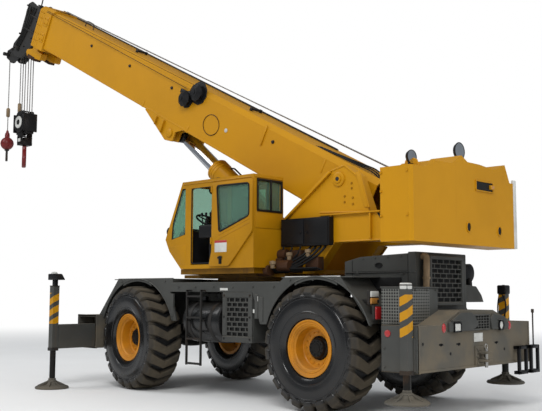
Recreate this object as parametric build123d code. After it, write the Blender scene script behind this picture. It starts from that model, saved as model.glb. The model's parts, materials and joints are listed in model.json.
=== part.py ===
"""Rough-terrain mobile crane: four-wheel carrier with outriggers, slewing superstructure with cab,
counterweight and winches, and a four-section telescopic boom with a hook block and a ball hook.

Millimetres, +X forward along the boom, +Y to the left, +Z up. Everything is laid out about the slewing
axis at floor level, and moved at the end so that the origin is under the middle of the overall box.
"""
from build123d import *
from math import atan2, cos, degrees, hypot, radians, sin
import os

# ---------------------------------------------------------------- driving dimensions
FIT = 0.4                       # gap between pieces that bear on each other
CLEAR = 6.0                     # gap between moving pieces that pass each other
WHEELBASE = 3740.0
AXLE_SHIFT = -70.0              # the axles' middle, ahead of the slewing axis
TRACK = 2200.0
TYRE_RADIUS = 808.0
TYRE_WIDTH = 600.0
BEAD_RADIUS = 345.0
RIM_RADIUS = 370.0
DISH_RADIUS = 245.0
HUB_RADIUS = 150.0
SPINDLE_RADIUS = 60.0
KINGPIN_Y = 960.0
KINGPIN_RADIUS = 35.0
FRONT_STEER = -7.5              # how the front wheels stand, degrees, negative is to the right
AXLE_RADIUS = 115.0

FRAME_HALF = 420.0
FRAME_BOTTOM = 640.0
FRAME_OVER_AXLE = 1000.0
FRAME_END_TOP = 1240.0
DECK_HALF = 1220.0
DECK_TOP = 1730.0
WALK_TOP = 1660.0
SHEET = 15.0                    # deck and hood sheet
SKIRT = 30.0                    # fender side plate
ARCH_RADIUS = 930.0

BOX_HALF = 1360.0               # outrigger box, half its width across the machine
BOX_LENGTH = 520.0
BOX_BOTTOM = 600.0
BOX_TOP = 1140.0
BOX_WALL = 20.0
FRONT_AXLE_X = AXLE_SHIFT + WHEELBASE / 2
REAR_AXLE_X = AXLE_SHIFT - WHEELBASE / 2
FRONT_BOX_X = FRONT_AXLE_X + 900.0      # near face of the front box
REAR_BOX_X = REAR_AXLE_X - 1150.0       # near face of the rear box
BEAM_WIDTH = 140.0
BEAM_HEIGHT = 380.0
BEAM_SIDE_PLAY = 8.0
BEAM_STOWED_Y = 1460.0          # jack centre with its beam run in
BEAM_FRONT_OUT = 640.0          # how far the front beams stand out
BEAM_TAIL_Y = -1200.0           # inner end of a stowed beam, beyond the middle
POST_SIZE = 108.0
POST_BOTTOM = 590.0
POST_TOP = 1610.0
LEG_RADIUS = 48.0
LEG_TOP = 1500.0
PAD_RADIUS = 262.0
PAD_THICK = 40.0
PAD_STOWED_Z = 262.0            # underside of a float with its jack run in

TOW_X = REAR_BOX_X - BOX_LENGTH - 100
TOW_LOW, TOW_HIGH, TOW_PLATE = 670.0, 800.0, 30.0
TOW_PIN = 22.0

SLEW_RADIUS = 810.0
SLEW_IN = 670.0
SLEW_BOTTOM = 1500.0
SLEW_TOP = 1690.0
PLATE_BOTTOM = 1740.0           # turntable's base plate, clear of the decks it swings over
PLATE_TOP = 1790.0
SLOT_HALF = 240.0               # slot in the base plate under the lift cylinder

PIVOT_X, PIVOT_Z = -1860.0, 3080.0
PIVOT_RADIUS = 60.0
BOOM_ANGLE = 27.2
BOOM_HALF = 360.0               # base section, half its width
BOOM_UPPER = 195.0              # its top above the pivot line
BOOM_HEIGHT = 785.0
BOOM_BEVEL = 80.0               # along its upper edges
BOOM_WALL = 20.0
BOOM_PLAY = 12.0                # room between one section and the next
BOOM_REAR = -450.0
BOOM_FRONT = 9050.0
SECTION_REAR = 250.0            # where the inner sections end inside the base
COLLAR = 30.0                   # how far an end collar stands out
COLLAR_STEP = 75.0              # how far each section's end shows beyond the last
COLLAR_LENGTH = 250.0           # the base section's own collar
MAST_IN = BOOM_HALF + 60
MAST_OUT = MAST_IN + 200
LIFT_PIN_A, LIFT_PIN_B = 4050.0, -750.0     # along the boom from its pivot, and square to it
LIFT_PIN_RADIUS = 50.0
LIFT_FOOT_X, LIFT_FOOT_Z = -550.0, 2120.0
LIFT_EYE_RADIUS = 120.0
LIFT_EYE_HALF = 125.0
LIFT_CHEEK_IN = 205.0           # boom's bracket, clear of the gland when the rod is in
BARREL_RADIUS = 185.0
GLAND_RADIUS = 197.0
BARREL_LENGTH = 2320.0          # foot pin to the end of the gland
BORE_START = 145.0
ROD_RADIUS = 120.0
ROD_LENGTH = 2465.0             # upper pin to the piston end
HEAD_HALF = 230.0               # boom head, half its width over the cheek plates
HEAD_PLATE = 30.0
NOSE_IN = 90.0                  # auxiliary nose plates, clear of the main sheaves between them
MAIN_SHEAVE_A, MAIN_SHEAVE_B = BOOM_FRONT + 970, -900.0
IDLER_A, IDLER_B = MAIN_SHEAVE_A - 110, -60.0
AUX_SHEAVE_A, AUX_SHEAVE_B = MAIN_SHEAVE_A + 520, -1180.0
SHEAVE_RADIUS = 150.0           # to the bottom of the groove
AUX_RADIUS = 150.0
SHEAVE_THICK = 46.0
GROOVE_DEPTH = 24.0
SHAFT_RADIUS = 40.0
ROPE_RADIUS = 10.0
FALL_PITCH = 60.0               # across the machine, one sheave to the next
BLOCK_Z = 5215.0                # hook block's sheave pin
BLOCK_IN, BLOCK_OUT = 100.0, 165.0      # its cheek weights
BLOCK_RADIUS = 222.0
HOOK_TURN = -30.0               # how both hooks stand on their swivels, degrees
HOOK_SHANK = 40.0
BALL_Z = 4850.0
BALL_RADIUS = 145.0

CAB_IN, CAB_OUT = 450.0, 1255.0
CAB_REAR_IN = MAST_OUT + 20     # behind the notch that clears the mast
CAB_NOTCH_X = -560.0
CAB_REAR, CAB_FRONT = -840.0, 1070.0
CAB_WALL = 40.0
CAB_FLOOR, CAB_ROOF = 1870.0, 3190.0
GLASS = 8.0
DOOR_THICK = 34.0
DOOR_TRAVEL = 500.0
DOOR_REAR, DOOR_FRONT = -840.0, -10.0
DOORWAY_REAR, DOORWAY_FRONT = -310.0, 480.0

CW_REAR, CW_FRONT = -3500.0, -3045.0
CW_HALF = 1300.0
CW_BOTTOM, CW_TOP = 2140.0, 3050.0
CW_BEVEL = 40.0

AXLE_Z = TYRE_RADIUS
WHEEL_Y = TRACK / 2
AXLES = {"front": FRONT_AXLE_X, "rear": REAR_AXLE_X}
SIDES = {"left": 1, "right": -1}


# ---------------------------------------------------------------- shape helpers
def block(x0, x1, y0, y1, z0, z1):
    """A box between two corners."""
    return Pos((x0 + x1) / 2, (y0 + y1) / 2, (z0 + z1) / 2) * Box(abs(x1 - x0), abs(y1 - y0), abs(z1 - z0))


def outline_face(points, plane):
    return plane * make_face(Polyline(*points, close=True).edges())


def side_prism(points, y0, y1):
    """A polygon in X and Z, drawn out from y0 to y1."""
    face = Pos(0, y0, 0) * outline_face(points, Plane.XZ)
    return extrude(face, amount=y1 - y0, dir=(0, 1, 0))


def plan_prism(points, z0, z1):
    """A polygon in X and Y, drawn up from z0 to z1."""
    face = Pos(0, 0, z0) * outline_face(points, Plane.XY)
    return extrude(face, amount=z1 - z0, dir=(0, 0, 1))


def end_prism(points, x0, x1):
    """A polygon in Y and Z, drawn out from x0 to x1."""
    face = Pos(x0, 0, 0) * outline_face(points, Plane.YZ)
    return extrude(face, amount=x1 - x0, dir=(1, 0, 0))


def rod_y(x, z, radius, y0, y1):
    return Pos(x, (y0 + y1) / 2, z) * Rot(90, 0, 0) * Cylinder(radius, abs(y1 - y0))


def rod_x(y, z, radius, x0, x1):
    return Pos((x0 + x1) / 2, y, z) * Rot(0, 90, 0) * Cylinder(radius, abs(x1 - x0))


def rod_z(x, y, radius, z0, z1):
    return Pos(x, y, (z0 + z1) / 2) * Cylinder(radius, abs(z1 - z0))


def turned_y(points, x, y, z, outward=1):
    """A profile of (distance outward along Y, radius) turned about the Y line through x and z."""
    face = outline_face([(radius, outward * out) for out, radius in points], Plane.XY)
    return Pos(x, y, z) * revolve(face, Axis.Y)


def turned_z(points, x, y):
    """A profile of (height, radius) turned about the Z line through x and y."""
    face = outline_face([(radius, height) for height, radius in points], Plane.XZ)
    return Pos(x, y, 0) * revolve(face, Axis.Z)


def both_sides(shape):
    """The shape and its like on the other side of the machine."""
    return shape + mirror(shape, Plane.XZ)


def turned_about(shape, x, y, angle):
    """The shape turned about the vertical line through x and y."""
    return Pos(x, y, 0) * Rot(0, 0, angle) * Pos(-x, -y, 0) * shape


# ---------------------------------------------------------------- carrier
def carrier_frame():
    """Box frame: deep between the axles and at its ends, raised over the axles."""
    rear, front = REAR_BOX_X, FRONT_BOX_X
    outer, inner, belly = 430, 420, 780
    outline = [(rear, FRAME_BOTTOM), (REAR_AXLE_X - outer - 150, FRAME_BOTTOM),
               (REAR_AXLE_X - outer, FRAME_OVER_AXLE), (REAR_AXLE_X + inner, FRAME_OVER_AXLE),
               (REAR_AXLE_X + inner + 200, belly), (FRONT_AXLE_X - inner - 200, belly),
               (FRONT_AXLE_X - inner, FRAME_OVER_AXLE), (FRONT_AXLE_X + outer, FRAME_OVER_AXLE),
               (FRONT_AXLE_X + outer + 150, FRAME_BOTTOM), (front, FRAME_BOTTOM), (front, FRAME_END_TOP),
               (FRONT_AXLE_X - 400, 1400), (1100, SLEW_BOTTOM), (-1100, SLEW_BOTTOM),
               (REAR_AXLE_X + 400, FRAME_END_TOP), (rear, FRAME_END_TOP)]
    platform = rod_z(0, 0, SLEW_RADIUS + 40, SLEW_BOTTOM - 70, SLEW_BOTTOM)
    return side_prism(outline, -FRAME_HALF, FRAME_HALF) + platform


def slew_ring():
    ring = rod_z(0, 0, SLEW_RADIUS, SLEW_BOTTOM, SLEW_TOP)
    return ring - rod_z(0, 0, SLEW_IN, SLEW_BOTTOM - 1, SLEW_TOP + 1)


# x, z of the side plate's upper edge, from front foot to rear foot
FENDER_FRONT, FENDER_REAR = FRONT_AXLE_X + 500, REAR_AXLE_X - 410
WALK_FRONT, WALK_REAR = FRONT_AXLE_X - 880, REAR_AXLE_X + 640
SKIRT_EDGE = [(FENDER_FRONT + 510, BOX_TOP), (FENDER_FRONT, DECK_TOP), (WALK_FRONT, DECK_TOP),
              (WALK_FRONT, WALK_TOP), (WALK_REAR, WALK_TOP), (WALK_REAR - 100, DECK_TOP),
              (FENDER_REAR, DECK_TOP), (FENDER_REAR - 470, BOX_TOP)]
SKIRT_LOW = 1090.0
HOOD_HALF = 600.0
HOOD_FRONT = -1940.0
HOOD_WAIST, HOOD_WAIST_TOP = 415.0, 1640.0      # narrow part that the steered rear wheels turn past


def deck(side):
    """Fenders, their side plate with the wheel arches cut out, and the walkway between them."""
    inner = HOOD_HALF + FIT
    lower = [(FENDER_REAR - 470, SKIRT_LOW), (REAR_AXLE_X + 1000, SKIRT_LOW), (REAR_AXLE_X + 1150, 1530),
             (WALK_FRONT + 60, 1530), (WALK_FRONT - 90, SKIRT_LOW), (FRONT_BOX_X, SKIRT_LOW),
             (FRONT_BOX_X, BOX_TOP)]
    plate = side_prism(SKIRT_EDGE + lower, DECK_HALF - SKIRT, DECK_HALF)
    for axle_x in AXLES.values():
        plate -= rod_y(axle_x, AXLE_Z, ARCH_RADIUS, DECK_HALF - SKIRT - 1, DECK_HALF + 1)
    under = [(FENDER_REAR - 470 + SHEET * 2, BOX_TOP), (FENDER_REAR + SHEET, DECK_TOP - SHEET),
             (WALK_REAR - 100, DECK_TOP - SHEET), (WALK_REAR, WALK_TOP - SHEET),
             (WALK_FRONT + SHEET, WALK_TOP - SHEET), (WALK_FRONT + SHEET, DECK_TOP - SHEET),
             (FENDER_FRONT - SHEET, DECK_TOP - SHEET), (FENDER_FRONT + 510 - SHEET * 2, BOX_TOP)]
    sheet = side_prism(SKIRT_EDGE + under, inner, DECK_HALF - SKIRT)
    sheet -= rod_z(0, 0, SLEW_RADIUS + 60, WALK_TOP - 100, DECK_TOP)
    half_deck = plate + sheet
    return half_deck if side > 0 else mirror(half_deck, Plane.XZ)


def front_deck():
    """Covered space on the frame ahead of the turntable."""
    rear = FRONT_AXLE_X - 750
    outline = [(FENDER_FRONT, 1290), (FENDER_FRONT, DECK_TOP), (rear, DECK_TOP), (rear, SLEW_BOTTOM + FIT),
               (1100, SLEW_BOTTOM + FIT), (FRONT_AXLE_X - 400, 1400 + FIT)]
    cover = side_prism(outline, -FRAME_HALF, FRAME_HALF)
    cover += block(rear, FENDER_FRONT, -HOOD_HALF, HOOD_HALF, 1660, DECK_TOP)
    return cover - rod_z(0, 0, SLEW_RADIUS + 60, 1300, DECK_TOP + 1)


def outrigger_boxes():
    boxes = None
    for near, outward in ((FRONT_BOX_X, 1), (REAR_BOX_X, -1)):
        far = near + outward * BOX_LENGTH
        low, high = min(near, far), max(near, far)
        box = block(low, high, -BOX_HALF, BOX_HALF, BOX_BOTTOM, BOX_TOP)
        box -= block(low + BOX_WALL, high - BOX_WALL, -BOX_HALF - 1, BOX_HALF + 1,
                     BOX_BOTTOM + BOX_WALL, BOX_TOP - BOX_WALL)
        boxes = box if boxes is None else boxes + box
    return boxes


def rear_hump():
    """Raised middle of the rear box's top."""
    low, high = REAR_BOX_X - BOX_LENGTH, REAR_BOX_X - FIT
    return end_prism([(-900, BOX_TOP), (900, BOX_TOP), (440, BOX_TOP + 170), (-370, BOX_TOP + 170)], low, high)


def engine_hood():
    """Sheet cover over the engine, open underneath where it sits on the frame."""
    z0 = FRAME_END_TOP
    rear = REAR_BOX_X
    waist_rear = REAR_AXLE_X - 840
    shell = None
    for wall in (0, SHEET):
        outline = [(HOOD_FRONT - wall, z0 - wall), (HOOD_FRONT - wall, 1940 - wall), (-2200, 2000 - wall),
                   (rear + wall, 2035 - wall), (rear + wall, z0 - wall)]
        form = side_prism(outline, -HOOD_HALF + wall, HOOD_HALF - wall)
        form -= both_sides(block(waist_rear + wall, HOOD_FRONT + 1, HOOD_WAIST - wall, HOOD_HALF + 1,
                                 z0 - SHEET - 1, HOOD_WAIST_TOP + wall))
        shell = form if shell is None else shell - form
    return shell


def engine():
    return block(-2950, -2150, -300, 300, FRAME_END_TOP, 1850)


def radiator_grille():
    frame = block(REAR_BOX_X - 100, REAR_BOX_X, -340, 430, 1370, 2000)
    return frame


def hood_fittings():
    """Exhaust pipe to the left of the grille and air cleaner on the right of the hood."""
    exhaust = rod_z(REAR_BOX_X - 75, 520, 60, BOX_TOP, 2020)
    exhaust += block(REAR_BOX_X - 80, REAR_BOX_X, 500, 540, 1500, 1560)
    exhaust -= rear_hump()
    cleaner = rod_x(-800, 1900, 130, -2900, -2300)
    cleaner += block(-2700, -2500, -800, -HOOD_HALF, 1860, 1900)
    return exhaust + cleaner


def rear_guard():
    """Perforated box on the rear box, to the left."""
    guard = block(REAR_BOX_X - 210, REAR_BOX_X + 110, 620, DECK_HALF, BOX_TOP, 1590)
    guard += block(REAR_BOX_X - 210, REAR_BOX_X - 150, 440, 620, BOX_TOP, 1590)
    return guard - rear_hump()


TANK_Y, TANK_RADIUS = 945.0, 305.0


def fuel_tank():
    """Round tank along the left side, on brackets from the frame."""
    tank = rod_x(TANK_Y, 1090, TANK_RADIUS, -150, FRONT_AXLE_X - 1100)
    for x in (0, 550):
        tank += block(x - 30, x + 30, FRAME_HALF, TANK_Y, 1060, 1120)
    return tank


def right_tank():
    """Square tank along the right side."""
    return block(REAR_AXLE_X + 1240, FRONT_AXLE_X - 1100, -1190, -FRAME_HALF, 800, 1400)


def side_grille_box():
    """Cooler box on the left side, against the walkway's plate."""
    rear = REAR_AXLE_X + 1160
    return block(rear, -180, 880, DECK_HALF, 820, 1530) + block(rear + 180, -400, FRAME_HALF, 880, 1000, 1300)


def steps():
    """Boarding ladder on the left and steps at the rear on the right."""
    ladder = None
    for x in (70, 480):
        rail = block(x, x + 20, 1280, 1320, 460, 1560)
        ladder = rail if ladder is None else ladder + rail
    for z in (470, 830, 1140, 1450):
        ladder += block(70, 500, 1280, 1320, z, z + 25)
    for x in (70, 480):
        ladder += block(x, x + 20, DECK_HALF, 1320, 1535, 1560)
    rear = block(REAR_BOX_X - BOX_LENGTH - 90, REAR_BOX_X - BOX_LENGTH, -1480, -900, 450, 475)
    rear += block(REAR_BOX_X - BOX_LENGTH - 90, REAR_BOX_X - BOX_LENGTH, -1480, -900, 800, 825)
    for y in (-1480, -1260, -1140, -920):
        rear += block(REAR_BOX_X - BOX_LENGTH - 20, REAR_BOX_X - BOX_LENGTH, y, y + 20, 450, 825)
    return ladder + rear


def tail_lamps():
    lamps = None
    for y0, y1 in ((560, 900), (-900, -560)):
        lamp = block(REAR_BOX_X - BOX_LENGTH - 30, REAR_BOX_X - BOX_LENGTH, y0, y1, 860, 1060)
        lamps = lamp if lamps is None else lamps + lamp
    return lamps


def tow_clevis():
    """Two plates with a pin hole under the middle of the rear box's face."""
    face = REAR_BOX_X - BOX_LENGTH
    clevis = block(face - 20, face, -110, 110, 620, 860)
    for z in (TOW_LOW, TOW_HIGH - TOW_PLATE):
        clevis += block(face - 150, face - 20, -70, 70, z, z + TOW_PLATE)
    return clevis - rod_z(TOW_X, 0, TOW_PIN, 600, 900)


def axle(axle_x):
    """Housing with its differential, frame pads, and a yoke for the knuckle at each end."""
    beam = rod_y(axle_x, AXLE_Z, AXLE_RADIUS, -820, 820)
    beam += Pos(axle_x, 0, AXLE_Z) * Rot(90, 0, 0) * Cylinder(FRAME_OVER_AXLE - AXLE_Z - CLEAR, 360)
    half = KNUCKLE_HALF + FIT
    for sign in SIDES.values():
        beam += block(axle_x - 110, axle_x + 110, sign * 230, sign * 400, AXLE_Z, FRAME_OVER_AXLE)
        beam += block(axle_x - 80, axle_x + 80, sign * 800, sign * 850, AXLE_Z - half - 45, AXLE_Z + half + 45)
        for up in (1, -1):
            z0, z1 = AXLE_Z + up * half, AXLE_Z + up * (half + 45)
            beam += block(axle_x - 80, axle_x + 80, sign * 850, sign * KINGPIN_Y, z0, z1)
            beam += rod_z(axle_x, sign * KINGPIN_Y, 80, z0, z1)
        beam -= rod_z(axle_x, sign * KINGPIN_Y, KINGPIN_RADIUS + FIT, AXLE_Z - 300, AXLE_Z + 300)
    return beam


# ---------------------------------------------------------------- wheels
KNUCKLE_HALF = 100.0


def knuckle(axle_x, sign):
    """Turns on the kingpin between the axle's lugs and carries the wheel on its spindle."""
    y = sign * KINGPIN_Y
    body = rod_z(axle_x, y, 78, AXLE_Z - KNUCKLE_HALF, AXLE_Z + KNUCKLE_HALF)
    body += rod_z(axle_x, y, KINGPIN_RADIUS, AXLE_Z - KNUCKLE_HALF - 60, AXLE_Z + KNUCKLE_HALF + 60)
    body += rod_y(axle_x, AXLE_Z, 95, y, sign * (KINGPIN_Y + 82))
    body += rod_y(axle_x, AXLE_Z, 140, sign * (KINGPIN_Y + 82), sign * (KINGPIN_Y + 105))
    body += rod_y(axle_x, AXLE_Z, SPINDLE_RADIUS, y, sign * (WHEEL_Y + 60))
    return body


def rim(axle_x, sign):
    """Barrel with its two flanges, dished disc and hub."""
    bead, edge = 230, 250
    hub_in = KINGPIN_Y + 105 + CLEAR - WHEEL_Y
    barrel = [(-edge, BEAD_RADIUS - 22), (-edge, RIM_RADIUS), (-bead - FIT, RIM_RADIUS), (-bead - FIT, BEAD_RADIUS),
              (bead + FIT, BEAD_RADIUS), (bead + FIT, RIM_RADIUS), (edge, RIM_RADIUS), (edge, BEAD_RADIUS - 22),
              (120, BEAD_RADIUS - 30), (80, DISH_RADIUS), (130, DISH_RADIUS), (130, DISH_RADIUS - 20),
              (55, DISH_RADIUS - 20), (40, HUB_RADIUS), (110, HUB_RADIUS), (110, 0), (65, 0),
              (65, SPINDLE_RADIUS + FIT), (hub_in, SPINDLE_RADIUS + FIT), (hub_in, HUB_RADIUS), (20, HUB_RADIUS),
              (40, DISH_RADIUS), (60, BEAD_RADIUS - 22)]
    return turned_y(barrel, axle_x, sign * WHEEL_Y, AXLE_Z, sign)


def tyre(axle_x, sign):
    """Plain outer form; the lugs stand inside the same radius."""
    half = TYRE_WIDTH / 2
    bead, fit = 230, BEAD_RADIUS + FIT
    right = [(bead, fit), (bead, RIM_RADIUS + 6), (half - 15, 430), (half, 560), (half - 15, 690),
             (half - 55, 780), (half - 95, TYRE_RADIUS)]
    left = [(-out, radius) for out, radius in reversed(right)]
    return turned_y(right + left, axle_x, sign * WHEEL_Y, AXLE_Z, sign)


# ---------------------------------------------------------------- outriggers
def outrigger_places():
    """Yields name, beam centre x, side, how far the beam is out and how far the jack is down."""
    inset = BOX_WALL + BEAM_SIDE_PLAY + BEAM_WIDTH / 2
    yield "front_left", FRONT_BOX_X + inset, 1, BEAM_FRONT_OUT, PAD_STOWED_Z
    yield "front_right", FRONT_BOX_X + BOX_LENGTH - inset, -1, BEAM_FRONT_OUT, PAD_STOWED_Z
    yield "rear_left", REAR_BOX_X - BOX_LENGTH + inset, 1, 0.0, 0.0
    yield "rear_right", REAR_BOX_X - inset, -1, 0.0, 0.0


def outrigger_beam(x, sign, out):
    """Square beam that runs in the box, with the jack's post on its end."""
    z0 = BOX_BOTTOM + BOX_WALL + FIT
    post_y = BEAM_STOWED_Y + out
    beam = block(x - BEAM_WIDTH / 2, x + BEAM_WIDTH / 2, sign * (BEAM_TAIL_Y + out),
                 sign * (post_y - POST_SIZE / 2), z0, z0 + BEAM_HEIGHT)
    post = block(x - POST_SIZE / 2, x + POST_SIZE / 2, sign * (post_y - POST_SIZE / 2),
                 sign * (post_y + POST_SIZE / 2), POST_BOTTOM, POST_TOP)
    return beam + post - rod_z(x, sign * post_y, LEG_RADIUS + FIT, POST_BOTTOM - 1, POST_TOP - 40)


def outrigger_leg(x, sign, out, down):
    """Jack's inner leg with its round float."""
    post_y = sign * (BEAM_STOWED_Y + out)
    bottom = PAD_STOWED_Z - down
    leg = rod_z(x, post_y, LEG_RADIUS, bottom + PAD_THICK, LEG_TOP - down)
    leg += turned_z([(bottom + PAD_THICK, 0), (bottom + PAD_THICK, 130), (bottom + PAD_THICK + 40, 70),
                     (bottom + PAD_THICK + 40, 0)], x, post_y)
    return leg + rod_z(x, post_y, PAD_RADIUS, bottom, bottom + PAD_THICK)


# ---------------------------------------------------------------- superstructure
MAST_LOW = 2210.0               # rear arms' underside
MAST_EDGE = [(760, PLATE_TOP), (760, CAB_FLOOR - CLEAR), (CAB_NOTCH_X - CLEAR, CAB_FLOOR - CLEAR),
             (CAB_NOTCH_X - CLEAR, 2380), (-810, 2540), (-1720, 3210), (-1960, 3270),
             (-2170, 3110), (-2370, 2600), (CW_FRONT, 2600), (CW_FRONT, MAST_LOW), (-1760, MAST_LOW),
             (-1400, PLATE_TOP)]


def turntable():
    """Base plate on the ring, slotted under the lift cylinder, with the cab's platform on the left."""
    plate = block(-1050, 1100, -830, 830, PLATE_BOTTOM, PLATE_TOP)
    plate += rod_z(0, 0, SLEW_RADIUS + 20, SLEW_TOP + FIT, PLATE_BOTTOM)
    plate -= block(-900, 1101, -SLOT_HALF, SLOT_HALF, SLEW_TOP, PLATE_TOP + 1)
    plate += block(-800, 760, MAST_OUT, 1200, PLATE_TOP, CAB_FLOOR)
    return plate


def mast():
    """Two boxed side plates that carry the boom's pivot, joined by floors front and rear."""
    plates = both_sides(side_prism(MAST_EDGE, MAST_IN, MAST_OUT))
    floor = block(CW_FRONT, -2420, -MAST_IN, MAST_IN, MAST_LOW, MAST_LOW + 60)
    floor += block(-1400, -1300, -MAST_IN, MAST_IN, PLATE_TOP, 1850)
    y0, y1 = LIFT_EYE_HALF + CLEAR, LIFT_EYE_HALF + CLEAR + 40
    for sign in SIDES.values():
        floor += block(LIFT_FOOT_X - 110, LIFT_FOOT_X + 110, sign * y0, sign * y1, PLATE_TOP, LIFT_FOOT_Z)
        floor += rod_y(LIFT_FOOT_X, LIFT_FOOT_Z, 110, sign * y0, sign * y1)
        floor += block(LIFT_FOOT_X - 40, LIFT_FOOT_X + 40, sign * y1, sign * MAST_IN, PLATE_TOP, 1950)
    bore = rod_y(PIVOT_X, PIVOT_Z, PIVOT_RADIUS + FIT, -MAST_OUT - 1, MAST_OUT + 1)
    return plates + floor - bore


def counterweight():
    """Cast weight with bevelled corners and a stepped top edge."""
    half, bevel = CW_HALF, CW_BEVEL
    plan = [(CW_FRONT, -half), (CW_FRONT, half), (CW_REAR + bevel, half), (CW_REAR, half - bevel),
            (CW_REAR, -half + bevel), (CW_REAR + bevel, -half)]
    body = plan_prism(plan, CW_BOTTOM, CW_TOP + 250)
    edge = [(-half - 1, CW_TOP), (-1120, CW_TOP), (-990, CW_TOP + 240), (-700, CW_TOP + 140), (-300, CW_TOP + 170),
            (0, CW_TOP + 170), (150, CW_TOP + 240), (400, CW_TOP + 110), (830, CW_TOP + 100), (1000, CW_TOP),
            (half + 1, CW_TOP), (half + 1, CW_TOP + 300), (-half - 1, CW_TOP + 300)]
    return body - end_prism(edge, CW_REAR - 1, CW_FRONT + 1)


def winches():
    """Main and auxiliary hoist drums with their flanges and side stands."""
    drums = None
    for x, z, radius in ((-2700, 2510, 190), (-2700, 2960, 150)):
        drum = rod_y(x, z, radius, -300, 300)
        for sign in SIDES.values():
            drum += rod_y(x, z, radius + 40, sign * 300, sign * 330)
        drums = drum if drums is None else drums + drum
    for sign in SIDES.values():
        stand = [(-2450, MAST_LOW + 60), (-2950, MAST_LOW + 60), (-2820, 3050), (-2580, 3050)]
        drums += side_prism(stand, sign * 330, sign * 370)
    return drums


CAB_EDGE = [(CAB_REAR, CAB_FLOOR), (CAB_REAR, CAB_ROOF), (680, CAB_ROOF), (CAB_FRONT, 2330), (970, 2140),
            (700, CAB_FLOOR)]


def inset_edge(points, wall):
    """A convex outline moved inwards by a wall's thickness."""
    centre_x = sum(x for x, _ in points) / len(points)
    centre_z = sum(z for _, z in points) / len(points)
    lines = []
    for (x0, z0), (x1, z1) in zip(points, points[1:] + points[:1]):
        nx, nz = z1 - z0, x0 - x1
        size = hypot(nx, nz)
        nx, nz = nx / size, nz / size
        if nx * (centre_x - x0) + nz * (centre_z - z0) < 0:
            nx, nz = -nx, -nz
        lines.append((nx, nz, nx * (x0 + nx * wall) + nz * (z0 + nz * wall)))
    inner = []
    for (a0, b0, c0), (a1, b1, c1) in zip(lines[-1:] + lines[:-1], lines):
        det = a0 * b1 - a1 * b0
        inner.append(((c0 * b1 - c1 * b0) / det, (a0 * c1 - a1 * c0) / det))
    return inner


DOORWAY = (DOORWAY_REAR, DOORWAY_FRONT, CAB_FLOOR + 60, CAB_ROOF - 110)
FRONT_LENGTH = hypot(CAB_FRONT - 680, CAB_ROOF - 2330)
FRONT_LEAN = degrees(atan2(CAB_FRONT - 680, CAB_ROOF - 2330))


def on_windshield(shape):
    """Carries a shape drawn with Z up along the windshield and X out of it to the cab's front."""
    return Pos(CAB_FRONT, 0, 2330) * Rot(0, -FRONT_LEAN, 0) * shape


# x, z of the small window ahead of the doorway
SIDE_LIGHT = [(610, 3090), (690, 3090), (905, 2570), (930, 2320), (610, 2390)]


def cab_windows():
    """The openings cut through the cab's walls, each as a solid that passes right through its wall."""
    windows = {
        "front": on_windshield(block(-CAB_WALL * 2, CAB_WALL, CAB_IN + 60, CAB_OUT - 60, 40, FRONT_LENGTH - 50)),
        "rear": block(CAB_REAR - 1, CAB_REAR + CAB_WALL + 1, CAB_REAR_IN + 60, CAB_OUT - 70, 2450, 3110),
        "right": block(-380, 520, CAB_IN - 1, CAB_IN + CAB_WALL + 1, 2350, 3080),
        "left": block(-760, -380, CAB_OUT - CAB_WALL - 1, CAB_OUT + 1, 2450, 3080),
        "left_front": side_prism(SIDE_LIGHT, CAB_OUT - CAB_WALL - 1, CAB_OUT + 1),
    }
    return windows


def cab_shell():
    """Hollow cab, with its doorway and windows cut and a notch that clears the mast."""
    outer = side_prism(CAB_EDGE, CAB_IN, CAB_OUT)
    inner = side_prism(inset_edge(CAB_EDGE, CAB_WALL), CAB_IN + CAB_WALL, CAB_OUT - CAB_WALL)
    notch = block(CAB_REAR - 1, CAB_NOTCH_X, CAB_IN - 1, CAB_REAR_IN, CAB_FLOOR - 1, CAB_ROOF + 1)
    kept = block(CAB_REAR + CAB_WALL - 1, CAB_NOTCH_X + CAB_WALL, CAB_IN, CAB_REAR_IN + CAB_WALL,
                 CAB_FLOOR - 1, CAB_ROOF + 1)
    shell = outer - notch - (inner - kept)
    x0, x1, z0, z1 = DOORWAY
    shell -= block(x0, x1, CAB_OUT - CAB_WALL - 1, CAB_OUT + 1, z0, z1)
    for window in cab_windows().values():
        shell -= window
    return shell


def cab_glass():
    """Panes that fill the cut windows."""
    y0, y1 = CAB_IN + 60 + FIT, CAB_OUT - 60 - FIT
    front = on_windshield(block(-24, -24 + GLASS, y0, y1, 40 + FIT, FRONT_LENGTH - 50 - FIT))
    rear = block(CAB_REAR + 15, CAB_REAR + 15 + GLASS, CAB_REAR_IN + 60 + FIT, CAB_OUT - 70 - FIT,
                 2450 + FIT, 3110 - FIT)
    right = block(-380 + FIT, 520 - FIT, CAB_IN + 15, CAB_IN + 15 + GLASS, 2350 + FIT, 3080 - FIT)
    left = block(-760 + FIT, -380 - FIT, CAB_OUT - 23, CAB_OUT - 23 + GLASS, 2450 + FIT, 3080 - FIT)
    small = side_prism(inset_edge(SIDE_LIGHT, FIT), CAB_OUT - 23, CAB_OUT - 23 + GLASS)
    return front + rear + right + left + small


def cab_interior():
    """Seat, and the console with the steering wheel."""
    floor = CAB_FLOOR + CAB_WALL
    seat = block(-450, 0, 680, 1080, floor + 260, floor + 380) + block(-330, -120, 780, 980, floor, floor + 260)
    seat += block(-560, -450, 690, 1070, floor + 300, floor + 900)
    console = block(460, 660, 700, 1000, floor, floor + 420)
    console += Pos(500, 850, floor + 470) * Rot(0, -30, 0) * Cylinder(25, 340)
    console += Pos(415, 850, floor + 617) * Rot(0, -30, 0) * Torus(170, 14)
    console += rod_y(415, floor + 617, 12, 680, 1020)
    return seat + console


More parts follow.
